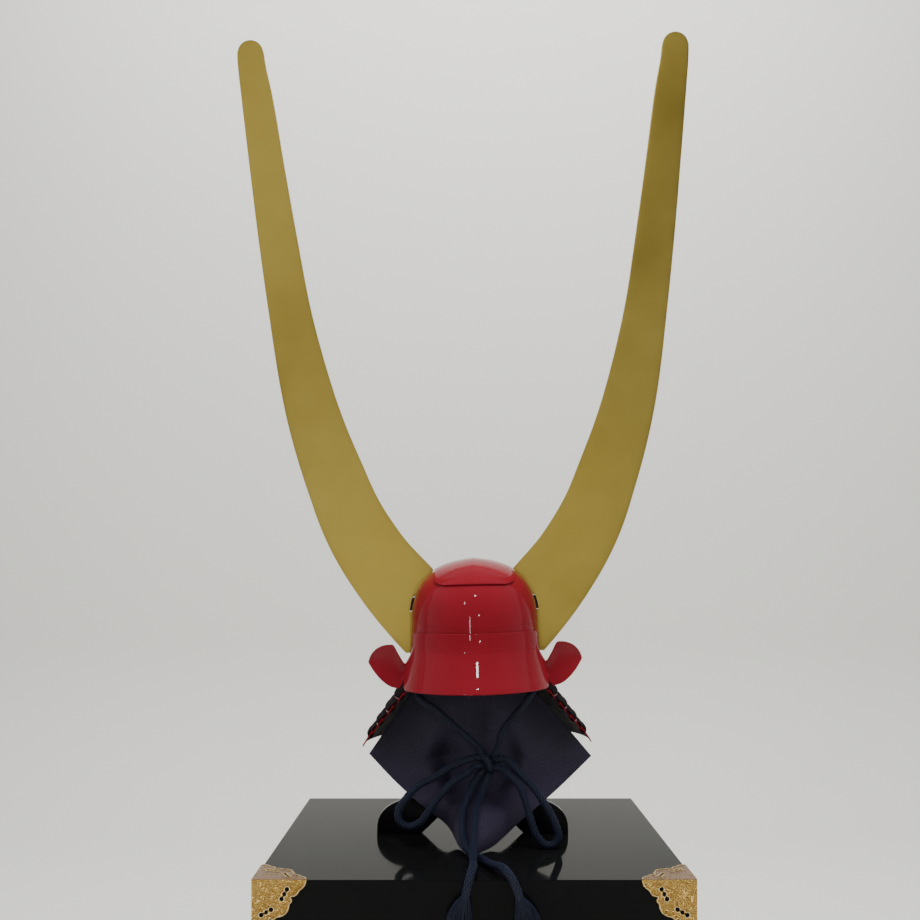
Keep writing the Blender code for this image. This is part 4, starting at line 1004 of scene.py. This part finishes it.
seam = []
for k in range(SEAM_CUTS + 1):
    angle = SEAM_TURN * (2 * k / SEAM_CUTS - 1)
    height = SEAM_MIDDLE + (SEAM_ENDS - SEAM_MIDDLE) * (angle / SEAM_TURN) ** 2
    half_width, half_length = bowl_section(height)
    seam.append((half_width * math.sin(angle), -half_length * math.cos(angle), height))
seam_mesh = bead_lines("forehead_seam", [np.array(seam)], SEAM_RADIUS)
on_helmet(add_piece("forehead_seam", seam_mesh, red_lacquer))

# Top plate: a second plate over the crown, raised along its middle, with a straight front edge and round
# corners. It is riveted on from inside before lacquering, so no fastener shows.
TOP_PLATE_HALF_WIDTH = 0.0505
TOP_PLATE_FRONT = 0.086
TOP_PLATE_BACK = 0.080
TOP_PLATE_THICKNESS = 0.0017
TOP_PLATE_LIFT = GAP + 0.0007
TOP_RIDGE = 0.0028
TOP_PLATE_CELLS = 48
TOP_PLATE_REACH = 0.985
EVEN_SHARE = 0.35
NUDGE = 0.0005


def bowl_top(x, y):
    """Height of the bowl's surface over a place in plan."""
    size = math.hypot(x / BOWL_HALF_WIDTH, y / BOWL_HALF_LENGTH)
    return BOWL_SPRING + BOWL_RISE * (1 - min(1.0, size) ** BOWL_POWER) ** (1 / BOWL_POWER)


def top_plate_point(across, along):
    """A point of the plate's underside and the way out. Both shares go from -1 to 1 over its outline."""
    reach = TOP_PLATE_FRONT if along < 0 else TOP_PLATE_BACK
    y = along * reach
    x = across * TOP_PLATE_HALF_WIDTH * (1 - along**24) ** 0.24
    y *= math.sqrt(1 - (x / (reach / BOWL_HALF_LENGTH * BOWL_HALF_WIDTH)) ** 2)
    slope_x = (bowl_top(x + NUDGE, y) - bowl_top(x - NUDGE, y)) / (2 * NUDGE)
    slope_y = (bowl_top(x, y + NUDGE) - bowl_top(x, y - NUDGE)) / (2 * NUDGE)
    return Vector((x, y, bowl_top(x, y))), Vector((-slope_x, -slope_y, 1.0)).normalized()


work = bmesh.new()
lower, upper = [], []
for r in range(TOP_PLATE_CELLS + 1):
    even = -1 + 2 * r / TOP_PLATE_CELLS
    along = TOP_PLATE_REACH * (EVEN_SHARE * even + (1 - EVEN_SHARE) * math.sin(0.5 * math.pi * even))
    low, high = [], []
    for c in range(TOP_PLATE_CELLS + 1):
        across = -1 + 2 * c / TOP_PLATE_CELLS
        here, out = top_plate_point(across, along)
        ridge = TOP_RIDGE * (1 - abs(across)) ** 2 * (1 - along**4)
        low.append(here + out * TOP_PLATE_LIFT)
        high.append(here + out * (TOP_PLATE_LIFT + TOP_PLATE_THICKNESS + ridge))
    lower.append(low)
    upper.append(high)
lower = [[work.verts.new(p) for p in row] for row in lower]
upper = [[work.verts.new(p) for p in row] for row in upper]
for r in range(TOP_PLATE_CELLS):
    for c in range(TOP_PLATE_CELLS):
        work.faces.new((upper[r][c], upper[r][c + 1], upper[r + 1][c + 1], upper[r + 1][c]))
        work.faces.new((lower[r][c], lower[r + 1][c], lower[r + 1][c + 1], lower[r][c + 1]))
for k in range(TOP_PLATE_CELLS):
    for row, column in ((0, None), (TOP_PLATE_CELLS, None), (None, 0), (None, TOP_PLATE_CELLS)):
        a, b = ((row, k), (row, k + 1)) if column is None else ((k, column), (k + 1, column))
        work.faces.new((upper[a[0]][a[1]], upper[b[0]][b[1]], lower[b[0]][b[1]], lower[a[0]][a[1]]))
bmesh.ops.recalc_face_normals(work, faces=work.faces)
top_mesh = bpy.data.meshes.new("top_plate_shell")
work.to_mesh(top_mesh)
work.free()
top_mesh.shade_smooth()
holder = add_piece("top_plate_shell", top_mesh, red_lacquer)
on_helmet(baked(rounded(holder, 0.0006)), "top_plate")

# Visor: a brow plate that is riveted round the front of the bowl and flares out over the forehead. A thin
# line follows the bend below its flange.
VISOR_THICKNESS = 0.0025
VISOR_HEIGHT = 0.0745
VISOR_REACH = 0.025
VISOR_HALF_WIDTH = 0.094
VISOR_SIDE_FLARE = 0.40
VISOR_STEPS = 110
VISOR_LEVELS = 44
BEND_SHARE = 0.70
BEND_SIDE = 0.93
BEND_CUTS = 60
BEND_RADIUS = 0.0002
# Height, reach to the front and half width, each as a share of its own size.
VISOR_SECTIONS = [
    (1.0, 0.0, 0.84),
    (0.85, 0.015, 0.84),
    (0.70, 0.07, 0.845),
    (0.57, 0.20, 0.90),
    (0.41, 0.41, 0.968),
    (0.235, 0.65, 0.98),
    (0.07, 0.90, 0.985),
    (0.0, 1.0, 0.955),
]


def visor_point(share, side):
    """A point of the visor's inner face. Share 1 is its flange's top, and side runs from -1 to 1."""
    height = share * VISOR_HEIGHT
    forward = smooth_value(VISOR_SECTIONS, share, 1) * VISOR_REACH
    half_width = smooth_value(VISOR_SECTIONS, share, 2) * VISOR_HALF_WIDTH
    bowl_wide, bowl_long = bowl_section(max(height, BOWL_RIM_HEIGHT))
    wide = bowl_wide + 2 * GAP + forward * VISOR_SIDE_FLARE
    long = bowl_long + 2 * GAP + forward
    angle = math.asin(min(0.999, half_width / wide)) * side
    return Vector((wide * math.sin(angle), -long * math.cos(angle), height))


visor_rows = []
for level in range(VISOR_LEVELS + 1):
    share = 1 - level / VISOR_LEVELS
    visor_rows.append([visor_point(share, 2 * i / VISOR_STEPS - 1) for i in range(VISOR_STEPS + 1)])
visor_mesh = grid_mesh("visor_plate", visor_rows)
face_out(visor_mesh)
holder = thickened(add_piece("visor_plate", visor_mesh, red_lacquer, inside_black), VISOR_THICKNESS)
on_helmet(baked(rounded(holder, 0.0010)), "visor")
bend_line = []
for k in range(BEND_CUTS + 1):
    here = visor_point(BEND_SHARE, -BEND_SIDE + 2 * BEND_SIDE * k / BEND_CUTS)
    out = Vector((here.x, here.y, 0.0)).normalized()
    bend_line.append(here + out * (VISOR_THICKNESS + 0.0001))
bend_mesh = bead_lines("visor_bend_line", [np.array(bend_line)], BEND_RADIUS)
on_helmet(add_piece("visor_bend_line", bend_mesh, red_lacquer))

# Turnbacks: a leaf-shaped plate stands out on each side, behind the visor's corner. Each is iron, slightly
# hollow in front, and lacquered red on both faces.
TURNBACK_ROOT = (0.0900, -0.0215)
TURNBACK_HOLLOW = 0.003
TURNBACK_LENGTH = 0.053
TURNBACK_HEIGHT = 0.059
TURNBACK_THICKNESS = 0.0022
TURNBACK_CELLS = (44, 28)
# How far out, then the lower edge, the upper edge and how far back, each as a share of its own size.
TURNBACK_SECTIONS = [
    (0.0, 0.41, 0.56, 0.0),
    (0.08, 0.20, 0.575, 0.01),
    (0.19, 0.0, 0.73, 0.02),
    (0.38, 0.025, 0.99, 0.07),
    (0.52, 0.085, 0.985, 0.12),
    (0.68, 0.20, 0.945, 0.19),
    (0.84, 0.355, 0.85, 0.28),
    (0.95, 0.483, 0.73, 0.35),
    (1.0, 0.56, 0.62, 0.39),
]
for side, node in ((-1, "turnback_left"), (1, "turnback_right")):
    rows = []
    for r in range(TURNBACK_CELLS[0] + 1):
        share = r / TURNBACK_CELLS[0]
        low, high, behind = (smooth_value(TURNBACK_SECTIONS, share, column) for column in (1, 2, 3))
        row = []
        for k in range(TURNBACK_CELLS[1] + 1):
            up = low + (high - low) * k / TURNBACK_CELLS[1]
            hollow = TURNBACK_HOLLOW * math.sin(math.pi * k / TURNBACK_CELLS[1])
            x = side * (TURNBACK_ROOT[0] + share * TURNBACK_LENGTH)
            row.append((x, TURNBACK_ROOT[1] + behind * TURNBACK_LENGTH + hollow, up * TURNBACK_HEIGHT))
        rows.append(row)
    mesh = grid_mesh(f"{node}_leaf", rows)
    face_front(mesh)
    holder = thickened(add_piece(mesh.name, mesh, red_lacquer), TURNBACK_THICKNESS)
    on_helmet(baked(rounded(holder, 0.0008)), node)

# Neck guard: five curved rows of thin lacquered iron that hang from the bowl's back and sides, each one
# outside the row above it. They are red outside and on their edges, and grey inside.
NECK_ROWS = 5
NECK_THICKNESS = 0.0016
NECK_TOP = 0.0145
NECK_BOTTOM = -0.076
NECK_OVERLAP = 0.005
NECK_PLAY = 0.0003
NECK_FLARE = 0.57
NECK_SLOPE = math.hypot(1.0, NECK_FLARE)
NECK_FRONT_TOP = math.radians(29)
NECK_FRONT_BOTTOM = math.radians(7)
NECK_STEPS = 128
NECK_LEVELS = 6
NECK_PITCH = (NECK_TOP - NECK_BOTTOM - NECK_OVERLAP) / NECK_ROWS
INSIDE_LOOK = -0.75


def neck_point(row, side, height, out=0.0):
    """A point of a neck row's inner face, moved outwards; side runs from -1 to 1 round its back."""
    half_width, half_length = bowl_section(NECK_TOP)
    shift = row * (NECK_THICKNESS + GAP + NECK_PLAY) * NECK_SLOPE
    away = 1.5 * GAP + shift + NECK_FLARE * (NECK_TOP - height)
    down = (NECK_TOP - height) / (NECK_TOP - NECK_BOTTOM)
    angle = side * (0.5 * math.pi + NECK_FRONT_TOP + down * (NECK_FRONT_BOTTOM - NECK_FRONT_TOP))
    wide, long = half_width + away, half_length + away
    flat = Vector((math.sin(angle) / wide, math.cos(angle) / long)).normalized()
    way = Vector((flat.x / NECK_SLOPE, flat.y / NECK_SLOPE, NECK_FLARE / NECK_SLOPE))
    return Vector((wide * math.sin(angle), long * math.cos(angle), height)) + way * out, way


grey_inside, tree, shader = new_finish("grey_inside", (0.036, 0.031, 0.036), 0.70, specular=0.08)
worn = noise(tree, 90.0, 5.0)
tint(tree, shader, worn, (0.3, (0.022, 0.019, 0.023)), (0.75, (0.050, 0.044, 0.050)))
bump(tree, shader, worn, 0.0003, 0.4)
for row in range(NECK_ROWS):
    top = NECK_TOP - row * NECK_PITCH
    bottom = top - NECK_PITCH - NECK_OVERLAP
    rows = []
    for level in range(NECK_LEVELS + 1):
        height = top + (bottom - top) * level / NECK_LEVELS
        rows.append([neck_point(row, 2 * i / NECK_STEPS - 1, height)[0] for i in range(NECK_STEPS + 1)])
    mesh = grid_mesh(f"neck_row_{row + 1}_plate", rows)
    face_out(mesh, (0.0, 0.0, 0.0))
    holder = thickened(add_piece(mesh.name, mesh, red_lacquer, grey_inside), NECK_THICKNESS)
    plate = baked(rounded(holder, 0.0005))
    for face in plate.data.polygons:
        outward = Vector((face.center.x, face.center.y, 0.0)).normalized()
        face.material_index = 1 if face.normal.dot(outward) < INSIDE_LOOK else 0
    on_helmet(plate, f"neck_row_{row + 1}")

# Lacing: flat dark silk laces, side by side, tie each neck row to the one above. They come out of a hole in
# the upper row, pass down over the lower row's top edge and go in again. At the guard's front ends, where
# its inside can be seen, they show on the inside too.
LACE_WIDTH = 0.0050
LACE_PITCH = 0.0053
LACE_THICKNESS = 0.0021
LACE_LENGTH = 0.0200
LACE_STEP_IN = 0.0019
LACE_BULGE = 0.0010
LACE_TUCK = 0.0012
LACE_RIBS = 17.0
RIB_SLANT = 2.5
RIB_DEPTH = 0.12
LACE_EDGE_THINNING = 0.75
STEP_STEEPNESS = 4.0
FIRST_ROW_DROP = 0.0075
INNER_LACE_SIDE = 0.90
INNER_LACE_DROP = 0.001
EDGE_CUTS = 400
SILK_DARK = (0.0025, 0.0012, 0.0018)
SILK_LIGHT = (0.011, 0.0055, 0.0075)
lace_silk, tree, shader = new_finish("lace_silk", (0.006, 0.0032, 0.0045), 0.85, specular=0.15)
fibres = noise(tree, 1500.0, 3.0)
tint(tree, shader, fibres, (0.3, SILK_DARK), (0.7, SILK_LIGHT))
bump(tree, shader, fibres, 0.0005, 0.8)


def lacing(name, points, turns):
    """Laces on points, each turned to lie along its row: ribbed flat bands, tucked in at both ends."""
    sizes = {
        "Width": ("Float", LACE_WIDTH),
        "Thickness": ("Float", LACE_THICKNESS),
        "Length": ("Float", LACE_LENGTH),
        "Step In": ("Float", LACE_STEP_IN),
        "Bulge": ("Float", LACE_BULGE),
        "Silk": ("Material", lace_silk),
    }
    t = NodeTree(name, sizes)
    s = t.start
    size = t.vector(s["Width"], s["Thickness"], s["Length"])
    cuts = {"Vertices X": 5, "Vertices Y": 2, "Vertices Z": 12}
    block = t.add("GeometryNodeMeshCube", {"Size": size, **cuts})[0]
    at = t.add("ShaderNodeSeparateXYZ", {0: t.add("GeometryNodeInputPosition")[0]})
    side = t.math("DIVIDE", at[0], t.times(s["Width"], 0.5))
    along = t.math("DIVIDE", at[2], t.times(s["Length"], 0.5))
    round_off = t.minus(1.0, t.times(LACE_EDGE_THINNING, t.size_power(side, 3.0)))
    slant = t.times(t.math("ABSOLUTE", side), RIB_SLANT)
    ribs = t.math("SINE", t.plus(t.times(along, LACE_RIBS), slant))
    round_off = t.times(round_off, t.plus(0.92, t.times(ribs, RIB_DEPTH)))
    fall = t.math("TANH", t.times(along, STEP_STEEPNESS))
    step = t.times(t.times(s["Step In"], -0.5), t.plus(1.0, fall))
    bow = t.times(s["Bulge"], t.minus(1.0, t.size_power(along, 4.0)))
    tuck = t.times(t.size_power(along, 12.0), -LACE_TUCK)
    y = t.plus(t.times(at[1], round_off), t.plus(step, t.plus(bow, tuck)))
    lace = t.add("GeometryNodeSetPosition", {"Geometry": block, "Position": t.vector(at[0], y, at[2])})[0]
    lace = t.add("GeometryNodeSetShadeSmooth", {0: lace})[0]
    turn = t.add("GeometryNodeInputNamedAttribute", {"Name": "turn"}, data_type="FLOAT_VECTOR")[0]
    hung = {"Points": s["Geometry"], "Instance": lace, "Rotation": turn}
    hung = t.add("GeometryNodeInstanceOnPoints", hung)[0]
    carrier = bpy.data.meshes.new(f"{name}_carrier")
    carrier.from_pydata([tuple(p) for p in points], [], [])
    turned = carrier.attributes.new("turn", "FLOAT_VECTOR", "POINT")
    turned.data.foreach_set("vector", np.array(turns).reshape(-1))
    return t.make(name, carrier, hung, "Silk")


for row in range(NECK_ROWS):
    middle = NECK_TOP - row * NECK_PITCH - (FIRST_ROW_DROP if row == 0 else 0.0)
    edge = [neck_point(row, 2 * i / EDGE_CUTS - 1, middle)[0] for i in range(EDGE_CUTS + 1)]
    along = np.concatenate([[0.0], np.cumsum([(b - a).length for a, b in zip(edge, edge[1:])])])
    count = int((along[-1] - LACE_WIDTH) / LACE_PITCH)
    starts = 0.5 * (along[-1] - count * LACE_PITCH) + LACE_PITCH * np.arange(count + 1)
    points, turns = [], []
    for start in starts:
        side = 2 * np.interp(start, along, np.arange(EDGE_CUTS + 1) / EDGE_CUTS) - 1
        out = NECK_THICKNESS + 0.5 * LACE_THICKNESS
        here, way = neck_point(row, side, middle, out)
        up = (neck_point(row, side, middle + 0.002, out)[0] - here).normalized()
        across = way.cross(up).normalized()
        basis = Matrix((across, way, up)).transposed()
        if basis.determinant() < 0:
            basis = Matrix((-across, way, up)).transposed()
        points.append(here)
        turns.append(tuple(basis.to_euler()))
        if abs(side) > INNER_LACE_SIDE:
            points.append(neck_point(row, side, middle - INNER_LACE_DROP, -LACE_THICKNESS)[0])
            turns.append(tuple((basis @ Matrix.Rotation(math.pi, 3, "Z")).to_euler()))
    on_helmet(lacing(f"lacing_{row + 1}", points, turns))

# Horns: two tall flat blades cut from thin board, rounded along their edges and gilt in a satin olive gold.
# Their feet are cut to follow the bowl's sides, with a notch where each one is fixed to its bracket.
HORN_BOTTOM = 0.0455
HORN_TIP = 0.873
HORN_RISE = HORN_TIP - HORN_BOTTOM
HORN_REACH = 0.3036
HORN_TIP_RADIUS = 0.0172
HORN_TIP_MIDDLE = HORN_TIP - HORN_TIP_RADIUS
HORN_THICKNESS = 0.005
HORN_EDGE_RADIUS = 0.0016
HORN_PLANE_Y = 0.004
HORN_CLEARANCE = 0.0002
HORN_NOTCH = 0.0032
HORN_NOTCH_LOW = 0.101
HORN_NOTCH_HIGH = 0.121
HORN_LEVELS = 90
HORN_COLUMNS = 12
TIP_LEVELS = 14
GOLD = (0.44, 0.33, 0.075)
GOLD_DEEP = (0.37, 0.27, 0.052)
GOLD_MIDDLE = (0.44, 0.33, 0.072)
GOLD_LIGHT = (0.50, 0.385, 0.092)
# Height as a share of the horn's rise, then the outer and the inner edge as shares of its reach. Where no
# inner edge is given, the blade follows the bowl.
HORN_EDGES = [
    (0.0, 0.306, None),
    (0.020, 0.355, None),
    (0.057, 0.438, None),
    (0.105, 0.530, None),
    (0.1341, 0.5787, 0.1752),
    (0.1576, 0.6136, 0.2345),
    (0.1794, 0.642, 0.2885),
    (0.2121, 0.6785, 0.352),
    (0.250, 0.7125, 0.414),
    (0.311, 0.7635, 0.486),
    (0.371, 0.805, 0.552),
    (0.432, 0.837, 0.607),
    (0.553, 0.882, 0.692),
    (0.673, 0.921, 0.749),
    (0.794, 0.955, 0.801),
    (0.915, 0.987, 0.851),
    (0.963, 0.9985, 0.877),
    (1.0, 1.0, 0.887),
]
INNER_EDGES = [row for row in HORN_EDGES if row[2] is not None]


def bowl_side(height, y, outwards):
    """Distance of the bowl's side from the middle plane at a height and a depth."""
    half_width, half_length = bowl_section(height)
    share = min(1.0, abs(y) / half_length)
    return half_width * math.sqrt(1 - share * share) + outwards


def horn_edges(height):
    """Inner and outer edge of a blade at a height above the brim, as distances from the middle plane."""
    share = (height - HORN_BOTTOM) / HORN_RISE
    outer = smooth_value(HORN_EDGES, share, 1) * HORN_REACH
    if share < INNER_EDGES[0][0]:
        notched = HORN_NOTCH_LOW < height < HORN_NOTCH_HIGH
        inner = bowl_side(height, HORN_PLANE_Y, HORN_NOTCH if notched else HORN_CLEARANCE)
    else:
        inner = smooth_value(INNER_EDGES, share, 2) * HORN_REACH
    if height > HORN_TIP_MIDDLE:
        tip = (HORN_TIP_MIDDLE - HORN_BOTTOM) / HORN_RISE
        middle = 0.5 * HORN_REACH * (smooth_value(HORN_EDGES, tip, 1) + smooth_value(INNER_EDGES, tip, 2))
        half = math.sqrt(max(0.0, HORN_TIP_RADIUS**2 - (height - HORN_TIP_MIDDLE) ** 2))
        inner, outer = middle - half, middle + half
    return inner, max(outer, inner + 0.002)


horn_gilt, tree, shader = new_finish("horn_gilt", GOLD, 0.44, 1.0)
bump(tree, shader, noise(tree, 1.0, 3.0, stretch=(900.0, 900.0, 30.0)), 0.00006, 0.5)
clouds = noise(tree, 5.5, 4.0, 0.55)
tint(tree, shader, clouds, (0.32, GOLD_DEEP), (0.55, GOLD_MIDDLE), (0.75, GOLD_LIGHT))
tint(tree, shader, clouds, (0.3, 0.36), (0.7, 0.48), socket="Roughness")

corner = HORN_BOTTOM + INNER_EDGES[0][0] * HORN_RISE
heights = list(np.linspace(HORN_BOTTOM, HORN_NOTCH_LOW, 12))
heights += [HORN_NOTCH_LOW + 0.0004, *np.linspace(HORN_NOTCH_LOW + 0.002, HORN_NOTCH_HIGH - 0.002, 5)]
heights += [HORN_NOTCH_HIGH - 0.0004, *np.linspace(HORN_NOTCH_HIGH, corner, 10)[:-1]]
heights += list(np.linspace(corner, HORN_TIP_MIDDLE, HORN_LEVELS)[:-1])
for k in range(TIP_LEVELS):
    heights.append(HORN_TIP_MIDDLE + HORN_TIP_RADIUS * math.sin(0.5 * math.pi * k / TIP_LEVELS))
heights.append(HORN_TIP - 0.00005)
for side, node in ((-1, "horn_left"), (1, "horn_right")):
    rows = []
    for height in heights:
        inner, outer = horn_edges(height)
        row = [inner + (outer - inner) * c / HORN_COLUMNS for c in range(HORN_COLUMNS + 1)]
        rows.append([(side * x, HORN_PLANE_Y, height) for x in row])
    mesh = grid_mesh(f"{node}_blade", rows)
    holder = thickened(add_piece(mesh.name, mesh, horn_gilt), HORN_THICKNESS, 0.0)
    on_helmet(baked(rounded(holder, HORN_EDGE_RADIUS, 4, 60)), node)

# Brackets: small angle pieces of dark iron, fixed to the bowl's sides, with an ear behind each blade. They
# are hidden but for a dark spot in each blade's notch.
IRON_DARK = (0.012, 0.011, 0.011)
IRON_LIGHT = (0.035, 0.031, 0.028)
bracket_iron, tree, shader = new_finish("bracket_iron", (0.020, 0.019, 0.018), 0.5, 0.8)
scale = noise(tree, 320.0)
bump(tree, shader, scale, 0.0004, 0.6)
tint(tree, shader, scale, (0.35, IRON_DARK), (0.7, IRON_LIGHT))
refinish("horn_bracket_left", bracket_iron)
refinish("horn_bracket_right", bracket_iron)

# Room: a pale floor that turns up into a pale wall behind, without a corner. It isn't part of the object.
# The floor lies just under the chest, so that the two don't share a plane.
FLOOR_HALF_WIDTH = 9.0
FLOOR_DEPTH = 9.0
FLOOR_DROP = 0.0002
WALL_Y = 1.9
WALL_HEIGHT = 4.0
CORNER_RADIUS = 0.5
CORNER_CUTS = 12
pale_paint, tree, shader = new_finish("pale_paint", (0.68, 0.68, 0.65), 0.75)
turn_y = WALL_Y - CORNER_RADIUS
profile = [(-FLOOR_DEPTH, 0.0), (turn_y, 0.0)]
for k in range(1, CORNER_CUTS + 1):
    angle = 0.5 * math.pi * k / CORNER_CUTS
    profile.append((turn_y + CORNER_RADIUS * math.sin(angle), CORNER_RADIUS * (1 - math.cos(angle))))
profile.append((WALL_Y, WALL_HEIGHT))
sweep_points = [(x, y, z - FLOOR_DROP) for x in (-FLOOR_HALF_WIDTH, FLOOR_HALF_WIDTH) for y, z in profile]
steps = len(profile)
sweep_faces = [(k, k + steps, k + steps + 1, k + 1) for k in range(steps - 1)]
add_piece("room", smooth_mesh("room", sweep_points, sweep_faces), pale_paint)

# Light: a soft room that is dark on the camera's side, a wide soft panel above, one at each side and one for
# the wall. Glossy surfaces don't mirror the panels, but they do mirror four small lamps in front.
ROOM_DARK = (0.20, 0.20, 0.20)
ROOM_DIM = (0.48, 0.49, 0.50)
ROOM_BRIGHT = (0.80, 0.81, 0.82)
LAMP_COLOUR = (1.0, 0.985, 0.96)
HELMET_MIDDLE = (0.0, 0.0, 0.6)
world = bpy.data.worlds.new("studio")
bpy.context.scene.world = world
world.use_nodes = True
sky = world.node_tree.nodes["Background"]
sky.inputs["Strength"].default_value = 1.0
place = add_node(world.node_tree, "ShaderNodeTexCoord")["Generated"]
depth = add_node(world.node_tree, "ShaderNodeSeparateXYZ", {"Vector": place})["Y"]
depth = {"Value": depth, "From Min": -1.0, "From Max": 0.45}
depth = add_node(world.node_tree, "ShaderNodeMapRange", depth, interpolation_type="SMOOTHSTEP")["Result"]
room_light = ramp(world.node_tree, depth, [(0.0, ROOM_DARK), (0.45, ROOM_DIM), (1.0, ROOM_BRIGHT)])
world.node_tree.links.new(room_light, sky.inputs["Color"])


def soft_panel(name, place, width, height, watts, mirrored=False, target=HELMET_MIDDLE):
    data = bpy.data.lights.new(name, "AREA")
    data.shape = "RECTANGLE"
    data.size = width
    data.size_y = height
    data.energy = watts
    data.color = LAMP_COLOUR
    made = bpy.data.objects.new(name, data)
    bpy.context.scene.collection.objects.link(made)
    made.location = place
    made.visible_glossy = mirrored
    made.rotation_euler = (Vector(target) - Vector(place)).to_track_quat("-Z", "Y").to_euler()


soft_panel("panel_above", (0.3, -0.8, 3.0), 2.2, 1.6, 85.0)
soft_panel("panel_left", (-2.2, -1.2, 1.6), 1.0, 1.6, 26.0)
soft_panel("panel_right", (2.3, -1.4, 1.5), 1.0, 1.6, 24.0)
soft_panel("lamp_high", (0.05, -1.9, 2.6), 0.16, 0.10, 6.0, True)
soft_panel("lamp_left", (-1.1, -2.6, 2.2), 0.08, 0.30, 5.0, True)
soft_panel("lamp_low", (-0.45, -2.5, 0.75), 0.07, 0.36, 3.0, True)
soft_panel("lamp_right", (0.35, -2.4, 1.0), 0.09, 0.09, 2.0, True)
soft_panel("wall_wash", (0.0, 0.9, 3.2), 3.0, 0.5, 60.0, target=(0.0, WALL_Y, 0.9))
